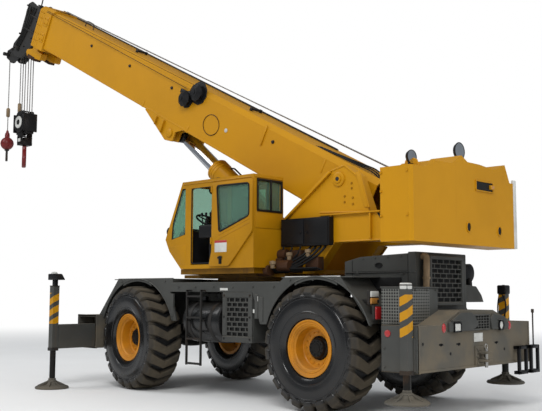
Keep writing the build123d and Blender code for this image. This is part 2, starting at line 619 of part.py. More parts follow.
def cab_door():
    """Sliding door on the outside of the cab, with its window cut."""
    outline = [(DOOR_REAR, 2380), (DOOR_REAR, 3120), (DOOR_FRONT, 3120), (DOOR_FRONT, 2120), (DOOR_FRONT + 60, 1900),
               (-370, 1900)]
    y0 = CAB_OUT + FIT
    door = side_prism(outline, y0, y0 + DOOR_THICK)
    window = [(DOOR_REAR + 60, 2600), (DOOR_REAR + 60, 3060), (DOOR_FRONT - 110, 3070), (DOOR_FRONT - 160, 2390)]
    return door - side_prism(window, y0 - 1, y0 + DOOR_THICK + 1)


def valve_cabinet():
    return block(-1770, -870, MAST_OUT, 740, 2170, 2570)


# ---------------------------------------------------------------- boom, drawn level with its pivot at 0
def on_boom(shape):
    """Carries a shape drawn with X along the boom and Z square to it to its place."""
    return Pos(PIVOT_X, 0, PIVOT_Z) * Rot(0, -BOOM_ANGLE, 0) * shape


def boom_point(along, square):
    """Where a point of the boom lies, in X and Z."""
    c, s = cos(radians(BOOM_ANGLE)), sin(radians(BOOM_ANGLE))
    return PIVOT_X + along * c - square * s, PIVOT_Z + along * s + square * c


def section_size(index):
    """Half width, top and bottom of a boom section, 0 being the base section."""
    step = index * (BOOM_WALL + BOOM_PLAY)
    return BOOM_HALF - step, BOOM_UPPER - step, BOOM_UPPER - BOOM_HEIGHT + step


def section_profile(half, top, bottom, bevel):
    return [(-half, bottom), (half, bottom), (half, top - bevel), (half - bevel, top), (-half + bevel, top),
            (-half, top - bevel)]


def section_tube(index, start, end):
    half, top, bottom = section_size(index)
    tube = end_prism(section_profile(half, top, bottom, BOOM_BEVEL), start, end)
    wall = BOOM_WALL
    hole = section_profile(half - wall, top - wall, bottom + wall, BOOM_BEVEL - wall * 0.6)
    return tube - end_prism(hole, start - 1, end + 1)


def section_collar(index, start, end, outer=0):
    """End collar: stands out to the same size on every section."""
    half, top, bottom = section_size(outer)
    collar = end_prism(section_profile(half + COLLAR, top + COLLAR, bottom - COLLAR * 2, BOOM_BEVEL), start, end)
    half, top, bottom = section_size(index)
    return collar - end_prism(section_profile(half - 1, top - 1, bottom + 1, BOOM_BEVEL), start - 1, end + 1)


def boom_base():
    tube = section_tube(0, BOOM_REAR, BOOM_FRONT)
    bottom = section_size(0)[2]
    tail = side_prism([(BOOM_REAR - 1, bottom - 1), (BOOM_REAR - 1, -150), (0, bottom - 1)], -500, 500)
    tube -= tail
    tube += section_collar(0, BOOM_FRONT - COLLAR_LENGTH, BOOM_FRONT)
    for sign in SIDES.values():
        tube += rod_y(0, 0, 150, sign * (BOOM_HALF - BOOM_WALL), sign * (MAST_IN - CLEAR))
        cheek = [(LIFT_PIN_A - 300, bottom), (LIFT_PIN_A + 850, bottom), (LIFT_PIN_A + 60, LIFT_PIN_B - 150),
                 (LIFT_PIN_A - 130, LIFT_PIN_B - 110), (LIFT_PIN_A - 130, LIFT_PIN_B + 60)]
        for y in (LIFT_CHEEK_IN, BOOM_HALF - 30):
            tube += side_prism(cheek, sign * y, sign * (y + 30))
    tube += rod_y(LIFT_PIN_A, LIFT_PIN_B, LIFT_PIN_RADIUS, -BOOM_HALF - 20, BOOM_HALF + 20)
    tube += rod_y(0, 0, PIVOT_RADIUS, -MAST_OUT - 20, MAST_OUT + 20)
    return on_boom(tube)


def boom_section(index):
    """An inner section with its end collar and the wear pads at its rear end."""
    front = BOOM_FRONT + index * COLLAR_STEP
    tube = section_tube(index, SECTION_REAR, front)
    tube += section_collar(index, front - COLLAR_STEP + CLEAR, front)
    half, top, bottom = section_size(index)
    pad = BOOM_PLAY - FIT
    for z0, z1 in ((top, top + pad), (bottom - pad, bottom)):
        tube += block(SECTION_REAR + 20, SECTION_REAR + 220, -half / 2, half / 2, z0, z1)
    return tube


def boom_head():
    """Cheek plates welded into the fly section, with cross plates between them."""
    start = BOOM_FRONT + 3 * COLLAR_STEP - 200
    tip = MAIN_SHEAVE_A + 70
    bottom = section_size(3)[2]
    cheek = [(start, 30), (start + 250, 60), (IDLER_A + 60, 170), (tip, 100), (tip, -620), (MAIN_SHEAVE_A + 230, -850),
             (MAIN_SHEAVE_A + 230, MAIN_SHEAVE_B - 130), (MAIN_SHEAVE_A + 60, MAIN_SHEAVE_B - 200),
             (MAIN_SHEAVE_A - 250, MAIN_SHEAVE_B - 160), (MAIN_SHEAVE_A - 560, -680), (start + 260, -600),
             (start + 260, bottom + BOOM_WALL + 1), (start, bottom + BOOM_WALL + 1)]
    nose = [(MAIN_SHEAVE_A - 60, -820), (MAIN_SHEAVE_A + 200, -800), (AUX_SHEAVE_A + 90, AUX_SHEAVE_B + 70),
            (AUX_SHEAVE_A + 60, AUX_SHEAVE_B - 70), (AUX_SHEAVE_A - 140, AUX_SHEAVE_B - 110),
            (MAIN_SHEAVE_A + 40, MAIN_SHEAVE_B - 190)]
    head = None
    for sign in SIDES.values():
        plate = side_prism(cheek, sign * (HEAD_HALF - HEAD_PLATE), sign * HEAD_HALF)
        plate += side_prism(nose, sign * NOSE_IN, sign * (NOSE_IN + HEAD_PLATE))
        head = plate if head is None else head + plate
    head += block(start + 200, start + 420, -HEAD_HALF, HEAD_HALF, -540, -500 + BOOM_WALL)
    head += block(start + 300, start + 330, -HEAD_HALF, HEAD_HALF, -500, 60)
    for along, square in ((MAIN_SHEAVE_A, MAIN_SHEAVE_B), (IDLER_A, IDLER_B), (AUX_SHEAVE_A, AUX_SHEAVE_B)):
        head += rod_y(along, square, SHAFT_RADIUS, -HEAD_HALF - 20, HEAD_HALF + 20)
    return head


def boom_fly():
    return on_boom(boom_section(3) + boom_head())


def sheave(along, square, radius, y):
    """Grooved wheel on its shaft."""
    half, rim_radius = SHEAVE_THICK / 2, radius + GROOVE_DEPTH
    profile = [(-half, SHAFT_RADIUS + FIT), (-half, rim_radius), (-half + 8, rim_radius), (-ROPE_RADIUS - 1, radius),
               (ROPE_RADIUS + 1, radius), (half - 8, rim_radius), (half, rim_radius), (half, SHAFT_RADIUS + FIT)]
    return turned_y(profile, along, y, square)


def head_sheaves():
    wheels = sheave(AUX_SHEAVE_A, AUX_SHEAVE_B, AUX_RADIUS, 0)
    for y in (-FALL_PITCH, 0, FALL_PITCH):
        wheels += sheave(MAIN_SHEAVE_A, MAIN_SHEAVE_B, SHEAVE_RADIUS, y)
    for y in (-FALL_PITCH / 2, FALL_PITCH / 2):
        wheels += sheave(IDLER_A, IDLER_B, SHEAVE_RADIUS, y)
    return on_boom(wheels)


def cable_reels():
    """Two reels on the left of the base section."""
    reels = rod_y(3800, -60, 170, BOOM_HALF, BOOM_HALF + 90)
    reels += rod_y(3560, 100, 190, BOOM_HALF, BOOM_HALF + 60)
    return on_boom(reels)


# ---------------------------------------------------------------- lift cylinder
LIFT_PIN_X, LIFT_PIN_Z = boom_point(LIFT_PIN_A, LIFT_PIN_B)
LIFT_LENGTH = hypot(LIFT_PIN_X - LIFT_FOOT_X, LIFT_PIN_Z - LIFT_FOOT_Z)
LIFT_ANGLE = degrees(atan2(LIFT_PIN_Z - LIFT_FOOT_Z, LIFT_PIN_X - LIFT_FOOT_X))


def on_lift(shape):
    """Carries a shape drawn with X up the cylinder from its foot pin to its place."""
    return Pos(LIFT_FOOT_X, 0, LIFT_FOOT_Z) * Rot(0, -LIFT_ANGLE, 0) * shape


def lift_barrel():
    eye = rod_y(0, 0, LIFT_EYE_RADIUS, -LIFT_EYE_HALF, LIFT_EYE_HALF)
    barrel = rod_x(0, 0, BARREL_RADIUS, 125, BARREL_LENGTH - 150) + rod_x(0, 0, 90, 0, 130)
    barrel += rod_x(0, 0, GLAND_RADIUS, BARREL_LENGTH - 160, BARREL_LENGTH)
    bore = rod_x(0, 0, ROD_RADIUS + FIT, BORE_START, BARREL_LENGTH + 1)
    return on_lift(eye + barrel - bore)


def lift_rod():
    rod = rod_x(0, 0, ROD_RADIUS, LIFT_LENGTH - ROD_LENGTH, LIFT_LENGTH - 90)
    rod += rod_y(LIFT_LENGTH, 0, LIFT_EYE_RADIUS, -LIFT_EYE_HALF, LIFT_EYE_HALF)
    return on_lift(rod - rod_y(LIFT_LENGTH, 0, LIFT_PIN_RADIUS + FIT, -200, 200))


# ---------------------------------------------------------------- hooks
BLOCK_X, MAIN_Z = boom_point(MAIN_SHEAVE_A, MAIN_SHEAVE_B)
AUX_X, AUX_Z = boom_point(AUX_SHEAVE_A, AUX_SHEAVE_B)
FALL_OUT = ROPE_RADIUS + FIT    # a fall's centre beyond the groove it runs in


BALL_X = AUX_X + AUX_RADIUS + FALL_OUT
BOWL_DROP = 1.55                # hook's top to the middle of its bowl, as a share of its reach
MAIN_HOOK_REACH, MAIN_HOOK_THICK = 190.0, 90.0
BALL_HOOK_REACH, BALL_HOOK_THICK = 110.0, 50.0
MAIN_HOOK_TOP = BLOCK_Z - 500 - CLEAR
BALL_HOOK_TOP = BALL_Z - BALL_RADIUS + 20
MAIN_BOWL_Z = MAIN_HOOK_TOP - MAIN_HOOK_REACH * BOWL_DROP
BALL_BOWL_Z = BALL_HOOK_TOP - BALL_HOOK_REACH * BOWL_DROP


def hook_shape(x, top, reach, thick):
    """Shank and bowl of a hook that opens to the front, in the XZ plane, its shank's top at z."""
    centre = top - reach * BOWL_DROP
    bowl = Pos(x, 0, centre) * Rot(90, 0, 0) * (Cylinder(reach, thick) - Cylinder(reach * 0.5, thick + 1))
    bowl -= block(x + reach * 0.02, x + reach * 1.2, -thick, thick, centre + reach * 0.1, centre + reach * 1.2)
    shank = block(x - reach * 0.62, x - reach * 0.05, -thick / 2, thick / 2, centre, centre + reach * 0.95)
    neck = rod_z(x, 0, thick * 0.45, centre + reach * 0.8, top)
    hook = bowl + shank + neck + block(x - reach * 0.62, x + reach * 0.2, -thick / 2, thick / 2,
                                       centre + reach * 0.75, centre + reach * 1.0)
    return turned_about(hook - rod_y(x, centre, reach * 0.5, -thick, thick), x, 0, HOOK_TURN)


def hook_block():
    """Cheek plates, three sheaves on their pin, and the rope falls up to the boom head."""
    block_parts = None
    for sign in SIDES.values():
        cheek = rod_y(BLOCK_X, BLOCK_Z, BLOCK_RADIUS, sign * BLOCK_IN, sign * BLOCK_OUT)
        cheek += block(BLOCK_X - 95, BLOCK_X + 95, sign * BLOCK_IN, sign * (BLOCK_IN + 30), BLOCK_Z - 500, BLOCK_Z)
        block_parts = cheek if block_parts is None else block_parts + cheek
    block_parts += rod_y(BLOCK_X, BLOCK_Z, SHAFT_RADIUS, -BLOCK_OUT - 20, BLOCK_OUT + 20)
    block_parts += block(BLOCK_X - 95, BLOCK_X + 95, -BLOCK_IN, BLOCK_IN, BLOCK_Z - 500, BLOCK_Z - 380)
    block_parts -= rod_z(BLOCK_X, 0, HOOK_SHANK + FIT, BLOCK_Z - 520, BLOCK_Z - 300)
    for y in (-FALL_PITCH, 0, FALL_PITCH):
        profile_half = SHEAVE_THICK / 2
        wheel = rod_y(BLOCK_X, BLOCK_Z, SHEAVE_RADIUS, y - profile_half, y + profile_half)
        block_parts += wheel
        for out in (1, -1):
            x = BLOCK_X + out * (SHEAVE_RADIUS + FALL_OUT)
            block_parts += rod_z(x, y, ROPE_RADIUS, BLOCK_Z, MAIN_Z)
            block_parts += block(x - out * 14, x, y - 4, y + 4, BLOCK_Z, BLOCK_Z + 60)
    return block_parts


def main_hook():
    crosshead_top = BLOCK_Z - 380
    hook = hook_shape(BLOCK_X, MAIN_HOOK_TOP, MAIN_HOOK_REACH, MAIN_HOOK_THICK)
    hook += rod_z(BLOCK_X, 0, HOOK_SHANK, BLOCK_Z - 540, crosshead_top + 60)
    return hook + rod_z(BLOCK_X, 0, 80, crosshead_top + FIT, crosshead_top + 50)


def ball_hook():
    """Ball on its single rope, with a hook below."""
    ball = Pos(BALL_X, 0, BALL_Z) * Sphere(BALL_RADIUS)
    ball += rod_z(BALL_X, 0, ROPE_RADIUS, BALL_Z, AUX_Z) + rod_z(BALL_X, 0, 45, BALL_Z, BALL_Z + 300)
    return ball + hook_shape(BALL_X, BALL_HOOK_TOP, BALL_HOOK_REACH, BALL_HOOK_THICK)


# ---------------------------------------------------------------- everything together
def all_parts():
    parts = {
        "carrier_frame": carrier_frame(), "slew_ring": slew_ring(), "left_deck": deck(1), "right_deck": deck(-1),
        "front_deck": front_deck(), "outrigger_boxes": outrigger_boxes(), "rear_hump": rear_hump(),
        "engine_hood": engine_hood(), "engine": engine(), "radiator_grille": radiator_grille(),
        "hood_fittings": hood_fittings(), "rear_guard": rear_guard(), "fuel_tank": fuel_tank(),
        "right_tank": right_tank(), "side_grille_box": side_grille_box(), "steps": steps(),
        "tail_lamps": tail_lamps(), "tow_clevis": tow_clevis(),
        "turntable": turntable(), "mast": mast(), "counterweight": counterweight(), "winches": winches(),
        "cab_shell": cab_shell(), "cab_glass": cab_glass(), "cab_interior": cab_interior(),
        "cab_door": cab_door(), "valve_cabinet": valve_cabinet(),
        "boom_base": boom_base(), "boom_mid_1": on_boom(boom_section(1)), "boom_mid_2": on_boom(boom_section(2)),
        "boom_fly": boom_fly(), "head_sheaves": head_sheaves(), "cable_reels": cable_reels(),
        "lift_barrel": lift_barrel(), "lift_rod": lift_rod(),
        "hook_block": hook_block(), "main_hook": main_hook(), "ball_hook": ball_hook(),
    }
    for end, axle_x in AXLES.items():
        parts[f"{end}_axle"] = axle(axle_x)
        for side, sign in SIDES.items():
            angle = FRONT_STEER if end == "front" else 0.0
            name = f"{end}_{side}"
            for kind, make in (("knuckle", knuckle), ("rim", rim), ("tyre", tyre)):
                shape = make(axle_x, sign)
                parts[f"{name}_{kind}"] = turned_about(shape, axle_x, sign * KINGPIN_Y, angle)
    for name, x, sign, out, down in outrigger_places():
        parts[f"{name}_beam"] = outrigger_beam(x, sign, out)
        parts[f"{name}_jack"] = outrigger_leg(x, sign, out, down)
    return parts


def main():
    parts = all_parts()
    boxes = [shape.bounding_box() for shape in parts.values()]
    middle = (min(b.min.X for b in boxes) + max(b.max.X for b in boxes)) / 2
    os.makedirs("parts", exist_ok=True)
    for name, shape in parts.items():
        export_step(Pos(-middle, 0, 0) * shape, f"parts/{name}.step")
    print(f"moved back by {middle:.3f}, slew axis at {-middle:.3f}, lift {LIFT_LENGTH:.1f} {LIFT_ANGLE:.3f}")


if __name__ == "__main__":
    main()
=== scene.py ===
"""Rough-terrain mobile crane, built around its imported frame: tyres and rims, carrier, outriggers,
superstructure, cab, boom and hooks, each in its own finish, with the stage, lamps and camera.

Pieces are drawn in millimetres about the slewing axis at floor level, +X along the boom and +Y to the
left. They are brought to metres and to the frame's origin when they are finished."""

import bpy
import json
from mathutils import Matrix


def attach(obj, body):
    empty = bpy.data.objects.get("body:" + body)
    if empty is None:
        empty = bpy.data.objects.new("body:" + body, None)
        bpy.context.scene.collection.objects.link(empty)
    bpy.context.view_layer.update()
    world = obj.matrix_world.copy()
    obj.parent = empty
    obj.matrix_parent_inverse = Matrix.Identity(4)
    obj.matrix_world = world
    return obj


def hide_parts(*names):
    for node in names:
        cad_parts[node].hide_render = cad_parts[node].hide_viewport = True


bl_info = {
    "name": "Mobile crane",
    "version": (1, 0, 0),
    "blender": (4, 5, 0),
    "location": "3D View > Sidebar > Crane",
    "description": "Builds a rough-terrain crane and its stage around the packed frame",
    "category": "Object",
}

import json
from math import copysign, cos, hypot, pi, radians, sin, tau

import bpy
from bpy.props import FloatProperty, FloatVectorProperty, IntProperty, PointerProperty
from mathutils import Matrix, Vector

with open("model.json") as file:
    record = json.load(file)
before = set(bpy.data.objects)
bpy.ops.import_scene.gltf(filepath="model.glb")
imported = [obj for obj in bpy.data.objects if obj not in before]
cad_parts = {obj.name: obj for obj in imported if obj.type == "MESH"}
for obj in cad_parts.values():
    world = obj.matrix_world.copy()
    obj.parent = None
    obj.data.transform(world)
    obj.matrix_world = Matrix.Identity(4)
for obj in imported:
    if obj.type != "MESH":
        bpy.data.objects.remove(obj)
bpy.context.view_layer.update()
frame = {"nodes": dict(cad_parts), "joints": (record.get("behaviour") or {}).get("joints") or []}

AXES = {"X": Vector((1, 0, 0)), "Y": Vector((0, 1, 0)), "Z": Vector((0, 0, 1))}
SIDES = {"left": 1, "right": -1}


def joint_place(name):
    """Where a joint's axis lies at rest."""
    return Vector(next(joint["pos_m"] for joint in frame["joints"] if joint["name"] == name))


SLEW_X = joint_place("slew").x
TO_FRAME = Matrix.Translation((SLEW_X, 0, 0)) @ Matrix.Scale(0.001, 4)
PIVOT = (joint_place("luff") - Vector((SLEW_X, 0, 0))) * 1000
BOOM_LEAN = radians(27.2)
ON_BOOM = Matrix.Translation((PIVOT.x, 0, PIVOT.z)) @ Matrix.Rotation(-BOOM_LEAN, 4, "Y")
LIFT_FOOT = Vector((-550, 0, 2120))
LIFT_LEAN = radians(39.137)
LIFT_LENGTH = 3397.1
ON_LIFT = Matrix.Translation(LIFT_FOOT) @ Matrix.Rotation(-LIFT_LEAN, 4, "Y")
AXLE_X = {"front": 1800, "rear": -1940}
AXLE_Z = 808
WHEEL_Y = 1100
KINGPIN_Y = 960
FRONT_STEER = radians(-7.5)


# ---------------------------------------------------------------- what a user would change
class CraneSizes(bpy.types.PropertyGroup):
    """Sizes of the details that the frame leaves open."""

    lugs: IntProperty(name="Lugs", description="Tread lugs on each half of a tyre", default=22, min=8, max=40)
    lug_width: FloatProperty(name="Lug width", description="Width of a lug's top, mm", default=150)
    rope_radius: FloatProperty(name="Rope radius", description="Radius of the hoist ropes, mm", default=10)
    bolt_radius: FloatProperty(name="Bolt radius", description="Half of a bolt head's width, mm", default=16)


def colour(name, description, default):
    """A paint colour that can be changed in the sidebar."""
    return FloatVectorProperty(name=name, description=description, default=default, min=0, max=1,
        subtype="COLOR")


class CraneColours(bpy.types.PropertyGroup):
    """Colours of the finishes, as linear values."""

    boom: colour("Upper paint", "Paint of the boom, cab, mast and counterweight", (0.50, 0.232, 0.004))
    carrier: colour("Carrier paint", "Paint of the carrier and its decks", (0.062, 0.063, 0.058))
    rim: colour("Rim paint", "Paint of the wheel rims", (0.56, 0.215, 0.006))
    rubber: colour("Rubber", "Tyre rubber", (0.014, 0.014, 0.015))
    dust: colour("Dust", "Dry dust on the treads and the carrier", (0.21, 0.17, 0.115))
    hook: colour("Hook paint", "Paint of the hooks and the ball", (0.16, 0.012, 0.012))
    glass: colour("Glass", "Tint of the cab's panes", (0.30, 0.52, 0.40))


def sizes():
    return bpy.context.scene.crane_sizes


def colours():
    return bpy.context.scene.crane_colours




# ---------------------------------------------------------------- modelling steps
def choose(*pieces):
    """Only these pieces are selected, the first of them active."""
    bpy.ops.object.select_all(action="DESELECT")
    for piece in pieces:
        piece.select_set(True)
    bpy.context.view_layer.objects.active = pieces[0]
    return pieces[0]


def added():
    """The object just added, with its place and size moved into its mesh."""
    bpy.ops.object.transform_apply(location=True, rotation=True, scale=True)
    return bpy.context.object


def in_edit(piece, *steps):
    """Edit-mode steps on a piece that is selected all over."""
    choose(piece)
    bpy.ops.object.mode_set(mode="EDIT")
    bpy.ops.mesh.select_all(action="SELECT")
    for step, settings in steps:
        step(**settings)
    bpy.ops.object.mode_set(mode="OBJECT")
    return piece


def modify(piece, kind, **settings):
    """Adds a modifier and applies it."""
    choose(piece)
    bpy.ops.object.modifier_add(type=kind)
    modifier = piece.modifiers[-1]
    for name, value in settings.items():
        setattr(modifier, name, value)
    bpy.ops.object.modifier_apply(modifier=modifier.name)
    return piece


def soften(piece, width, segments=2, angle=40):
    """Bevels the edges sharper than an angle, and shades the rest smooth."""
    modify(piece, "BEVEL", width=width, segments=segments, limit_method="ANGLE", angle_limit=radians(angle))
    return shade(piece)


def shade(piece, angle=35):
    choose(piece)
    bpy.ops.object.shade_smooth_by_angle(angle=radians(angle))
    return piece


def block(x0, y0, z0, x1, y1, z1, bevel=4, segments=2):
    """A bar or box between two corners, its edges broken."""
    bpy.ops.object.select_all(action="DESELECT")
    bpy.ops.mesh.primitive_cube_add(size=1, location=((x0 + x1) / 2, (y0 + y1) / 2, (z0 + z1) / 2))
    bpy.context.object.scale = [abs(x1 - x0), abs(y1 - y0), abs(z1 - z0)]
    piece = added()
    return soften(piece, bevel, segments) if bevel else piece


def placed(axis, u, v, w):
    """A point from two coordinates of an outline and one along the axis it is drawn out on."""
    return {"X": (w, u, v), "Y": (u, w, v), "Z": (u, v, w)}[axis]


def plate(outline, start, end, axis="Y", bevel=3, segments=2):
    """A plate cut to an outline, and drawn out along an axis. Outlines are in X and Z along Y,
    in X and Y along Z, and in Y and Z along X."""
    bpy.ops.object.select_all(action="DESELECT")
    bpy.ops.mesh.primitive_circle_add(vertices=len(outline), radius=1, fill_type="NGON")
    piece = added()
    for vertex, (u, v) in zip(piece.data.vertices, outline):
        vertex.co = placed(axis, u, v, start)
    step = AXES[axis] * (end - start)
    in_edit(
        piece,
        (bpy.ops.mesh.extrude_region_move, {"TRANSFORM_OT_translate": {"value": step}}),
        (bpy.ops.mesh.select_all, {"action": "SELECT"}),
        (bpy.ops.mesh.normals_make_consistent, {"inside": False}),
    )
    return soften(piece, bevel, segments) if bevel else piece


def turned(profile, axis="Y", steps=48, middle=(0, 0, 0), smooth=35):
    """A closed profile of (distance along the axis, radius) spun about the axis."""
    bpy.ops.object.select_all(action="DESELECT")
    bpy.ops.mesh.primitive_circle_add(vertices=len(profile), radius=1, fill_type="NOTHING")
    piece = added()
    side = {"X": "Z", "Y": "X", "Z": "X"}[axis]
    for vertex, (out, radius) in zip(piece.data.vertices, profile):
        vertex.co = AXES[axis] * out + AXES[side] * radius
    in_edit(
        piece,
        (bpy.ops.mesh.spin, {"steps": steps, "angle": tau, "center": (0, 0, 0), "axis": AXES[axis]}),
        (bpy.ops.mesh.select_all, {"action": "SELECT"}),
        (bpy.ops.mesh.remove_doubles, {"threshold": 0.01}),
        (bpy.ops.mesh.dissolve_degenerate, {"threshold": 0.001}),
        (bpy.ops.mesh.normals_make_consistent, {"inside": False}),
    )
    piece.data.transform(Matrix.Translation(middle))
    return shade(piece, smooth)


def solid(profile, *settings):
    """A turned piece whose profile is closed on the axis at both ends."""
    (first, _), (last, _) = profile[0], profile[-1]
    head = [(first, 0)] if profile[0][1] else []
    tail = [(last, 0)] if profile[-1][1] else []
    return turned([*head, *profile, *tail], *settings)


def rod(start, end, radius, sides=24, bevel=3):
    """A round bar between two points, its ends chamfered."""
    start, end = Vector(start), Vector(end)
    length = (end - start).length
    ease = min(bevel, radius / 3, length / 3)
    profile = [(0, 0), (0, radius - ease), (ease, radius), (length - ease, radius), (length, radius - ease),
               (length, 0)]
    piece = turned(profile, "Z", sides)
    turn = (end - start).to_track_quat("Z", "Y").to_matrix().to_4x4()
    piece.data.transform(Matrix.Translation(start) @ turn)
    return piece


def pipe(points, radius, sides=8, closed=False, bends=6):
    """A bent tube or bar whose line runs smoothly by the points."""
    bpy.ops.object.select_all(action="DESELECT")
    bpy.ops.curve.primitive_nurbs_path_add()
    piece = added()
    piece.data.splines.clear()
    line = piece.data.splines.new("NURBS")
    line.points.add(len(points) - 1)
    for control, point in zip(line.points, points):
        control.co = (*point, 1)
    line.use_endpoint_u = not closed
    line.use_cyclic_u = closed
    line.order_u = 3
    line.resolution_u = bends
    piece.data.bevel_depth = radius
    piece.data.bevel_resolution = max(0, sides // 4 - 1)
    piece.data.use_fill_caps = not closed
    piece.data.dimensions = "3D"
    choose(piece)
    bpy.ops.object.convert(target="MESH")
    piece = bpy.context.object
    in_edit(
        piece,
        (bpy.ops.mesh.remove_doubles, {"threshold": 0.001}),
        (bpy.ops.mesh.normals_make_consistent, {"inside": False}),
    )
    return shade(piece, 50)


def joined(*pieces):
    """Several pieces made one."""
    choose(*pieces)
    if len(pieces) > 1:
        bpy.ops.object.join()
    return pieces[0]


def repeat(piece, places):
    """A modelled piece copied to each place, each copy with its own mesh, and made one."""
    copies = []
    for place in places:
        copy = piece.copy()
        copy.data = piece.data.copy()
        bpy.context.collection.objects.link(copy)
        copy.data.transform(place)
        if place.determinant() < 0:
            copy.data.flip_normals()
        copies.append(copy)
    bpy.data.objects.remove(piece)
    return joined(*copies)


def spread(piece, points):
    """A piece copied to each point."""
    return repeat(piece, [Matrix.Translation(point) for point in points])


def both_sides(*pieces):
    """Pieces and their like on the other side of the machine."""
    return repeat(joined(*pieces), [Matrix.Identity(4), Matrix.Scale(-1, 4, (0, 1, 0))])


def cut(piece, *cutters):
    """Cuts the shapes of other pieces away."""
    for cutter in cutters:
        modify(piece, "BOOLEAN", operation="DIFFERENCE", object=cutter, solver="EXACT")
        bpy.data.objects.remove(cutter)
    return piece


def stretched(piece, *shares):
    """A piece made longer or shorter along X, Y and Z."""
    return in_edit(piece, (bpy.ops.transform.resize, {"value": shares}))


def facing(direction):
    """Turns a piece modelled with Z up to face a direction."""
    return Vector(direction).to_track_quat("Z", "Y").to_matrix().to_4x4()


def bolts(points, radius=None, direction=(0, 1, 0)):
    """Hexagon heads on washers, standing on points and facing one way."""
    radius = radius or sizes().bolt_radius
    bpy.ops.object.select_all(action="DESELECT")
    bpy.ops.mesh.primitive_cylinder_add(vertices=6, radius=radius, depth=radius,
        location=(0, 0, radius * 0.7))
    head = soften(added(), radius * 0.12, 1, 50)
    bore, rim, thick = (radius * 0.6, radius * 1.35, radius * 0.2)
    washer = turned([(0, bore), (0, rim), (thick, rim), (thick, bore)], "Z", 12)
    turn = facing(direction)
    return repeat(joined(head, washer), [Matrix.Translation(point) @ turn for point in points])


def ring_of(count, radius, middle=(0, 0, 0), axis="Z", start=0.0):
    """Points evenly round a circle about an axis."""
    points = []
    for index in range(count):
        angle = start + tau * index / count
        u, v = radius * cos(angle), radius * sin(angle)
        points.append(Vector(middle) + Vector(placed(axis, u, v, 0)))
    return points


def finished(piece, name, coat, body="carrier", carry=None, replaces=(), second=None):
    """Names a piece or a list of pieces joined, moves it to its place in the frame, coats it and lets it ride
    on its body. A second coat goes on the faces whose middle and normal pass its test before the move."""
    if isinstance(piece, list):
        piece = joined(*piece)
    piece.name = name
    piece.data.name = name
    chosen = [face.index for face in piece.data.polygons if second and second[1](face.center, face.normal)]
    if carry is not None:
        piece.data.transform(carry)
    piece.data.transform(TO_FRAME)
    piece.data.materials.clear()
    for each in (coat, second[0]) if second else (coat,):
        piece.data.materials.append(bpy.data.materials[each])
    for index in chosen:
        piece.data.polygons[index].material_index = 1
    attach(piece, body)
    if replaces:
        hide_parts(*([replaces] if isinstance(replaces, str) else replaces))
    return piece


def coat_nodes(coat, *names):
    """Gives frame nodes that keep their shape a finish."""
    for name in names:
        materials = frame["nodes"][name].data.materials
        materials.clear()
        materials.append(bpy.data.materials[coat])


class CraneStep(bpy.types.Operator):
    """One step of the build. It raises an error if it can't finish."""

    bl_idname = "crane.step"
    bl_label = "Step"
    bl_options = {"REGISTER", "UNDO"}

    def execute(self, context):
        self.build()
        context.view_layer.update()
        return {"FINISHED"}




# ---------------------------------------------------------------- finishes
HEAD_START = 9.47  # metres from the boom's pivot, as the shaders measure
SPRAYED = {
    "dust": 0.1, "dust_top": 0.2, "wear": 0.35, "wear_colour": (0.3, 0.16, 0.03), "streaks": 0.14,
    "streak_colour": (0.3, 0.1, 0.008), "shine": 0.04, "uneven": 0.05, "patch": 0.7, "gloss": 0.16,
}


def add(tree, kind, feeds=None, **settings):
    """Adds a shader node, sets it, and feeds its inputs from values or from other nodes."""
    node = tree.nodes.new("ShaderNode" + kind)
    for name, value in settings.items():
        setattr(node, name, value)
    for name, value in (feeds or {}).items():
        if isinstance(value, bpy.types.NodeSocket):
            tree.links.new(value, node.inputs[name])
        else:
            node.inputs[name].default_value = value
    return node


def maths(tree, operation, a, b=0.0):
    return add(tree, "Math", {0: a, 1: b}, operation=operation, use_clamp=operation == "ADD").outputs[0]


def span(tree, value, low, high, to_low=0.0, to_high=1.0):
    """A value's range from low to high, spread smoothly over another range."""
    feeds = {"Value": value, "From Min": low, "From Max": high, "To Min": to_low, "To Max": to_high}
    return add(tree, "MapRange", feeds, interpolation_type="SMOOTHSTEP").outputs["Result"]


def blended(tree, factor, a, b):
    """Colour a where the factor is 0, and b where it is 1."""
    return add(tree, "Mix", {0: factor, 6: a, 7: b}, data_type="RGBA").outputs[2]


def noise(tree, place, scale, detail=3.0, roughness=0.55):
    feeds = {"Vector": place, "Scale": scale, "Detail": detail, "Roughness": roughness}
    return add(tree, "TexNoise", feeds).outputs["Fac"]


def opaque(value, share=1.0):
    """A colour of three numbers made one of four, as bright as its share."""
    return (*[part * share for part in value], 1.0)


def new_group(name, inputs, outputs):
    """A shader node group with named inputs and outputs."""
    tree = bpy.data.node_groups.new(name, "ShaderNodeTree")
    for label, value in inputs.items():
        kind = "NodeSocketColor" if isinstance(value, tuple) else "NodeSocketFloat"
        socket = tree.interface.new_socket(name=label, in_out="INPUT", socket_type=kind)
        socket.default_value = value
    for label, kind in outputs.items():
        tree.interface.new_socket(name=label, in_out="OUTPUT", socket_type="NodeSocket" + kind)
    return tree, tree.nodes.new("NodeGroupInput"), tree.nodes.new("NodeGroupOutput")


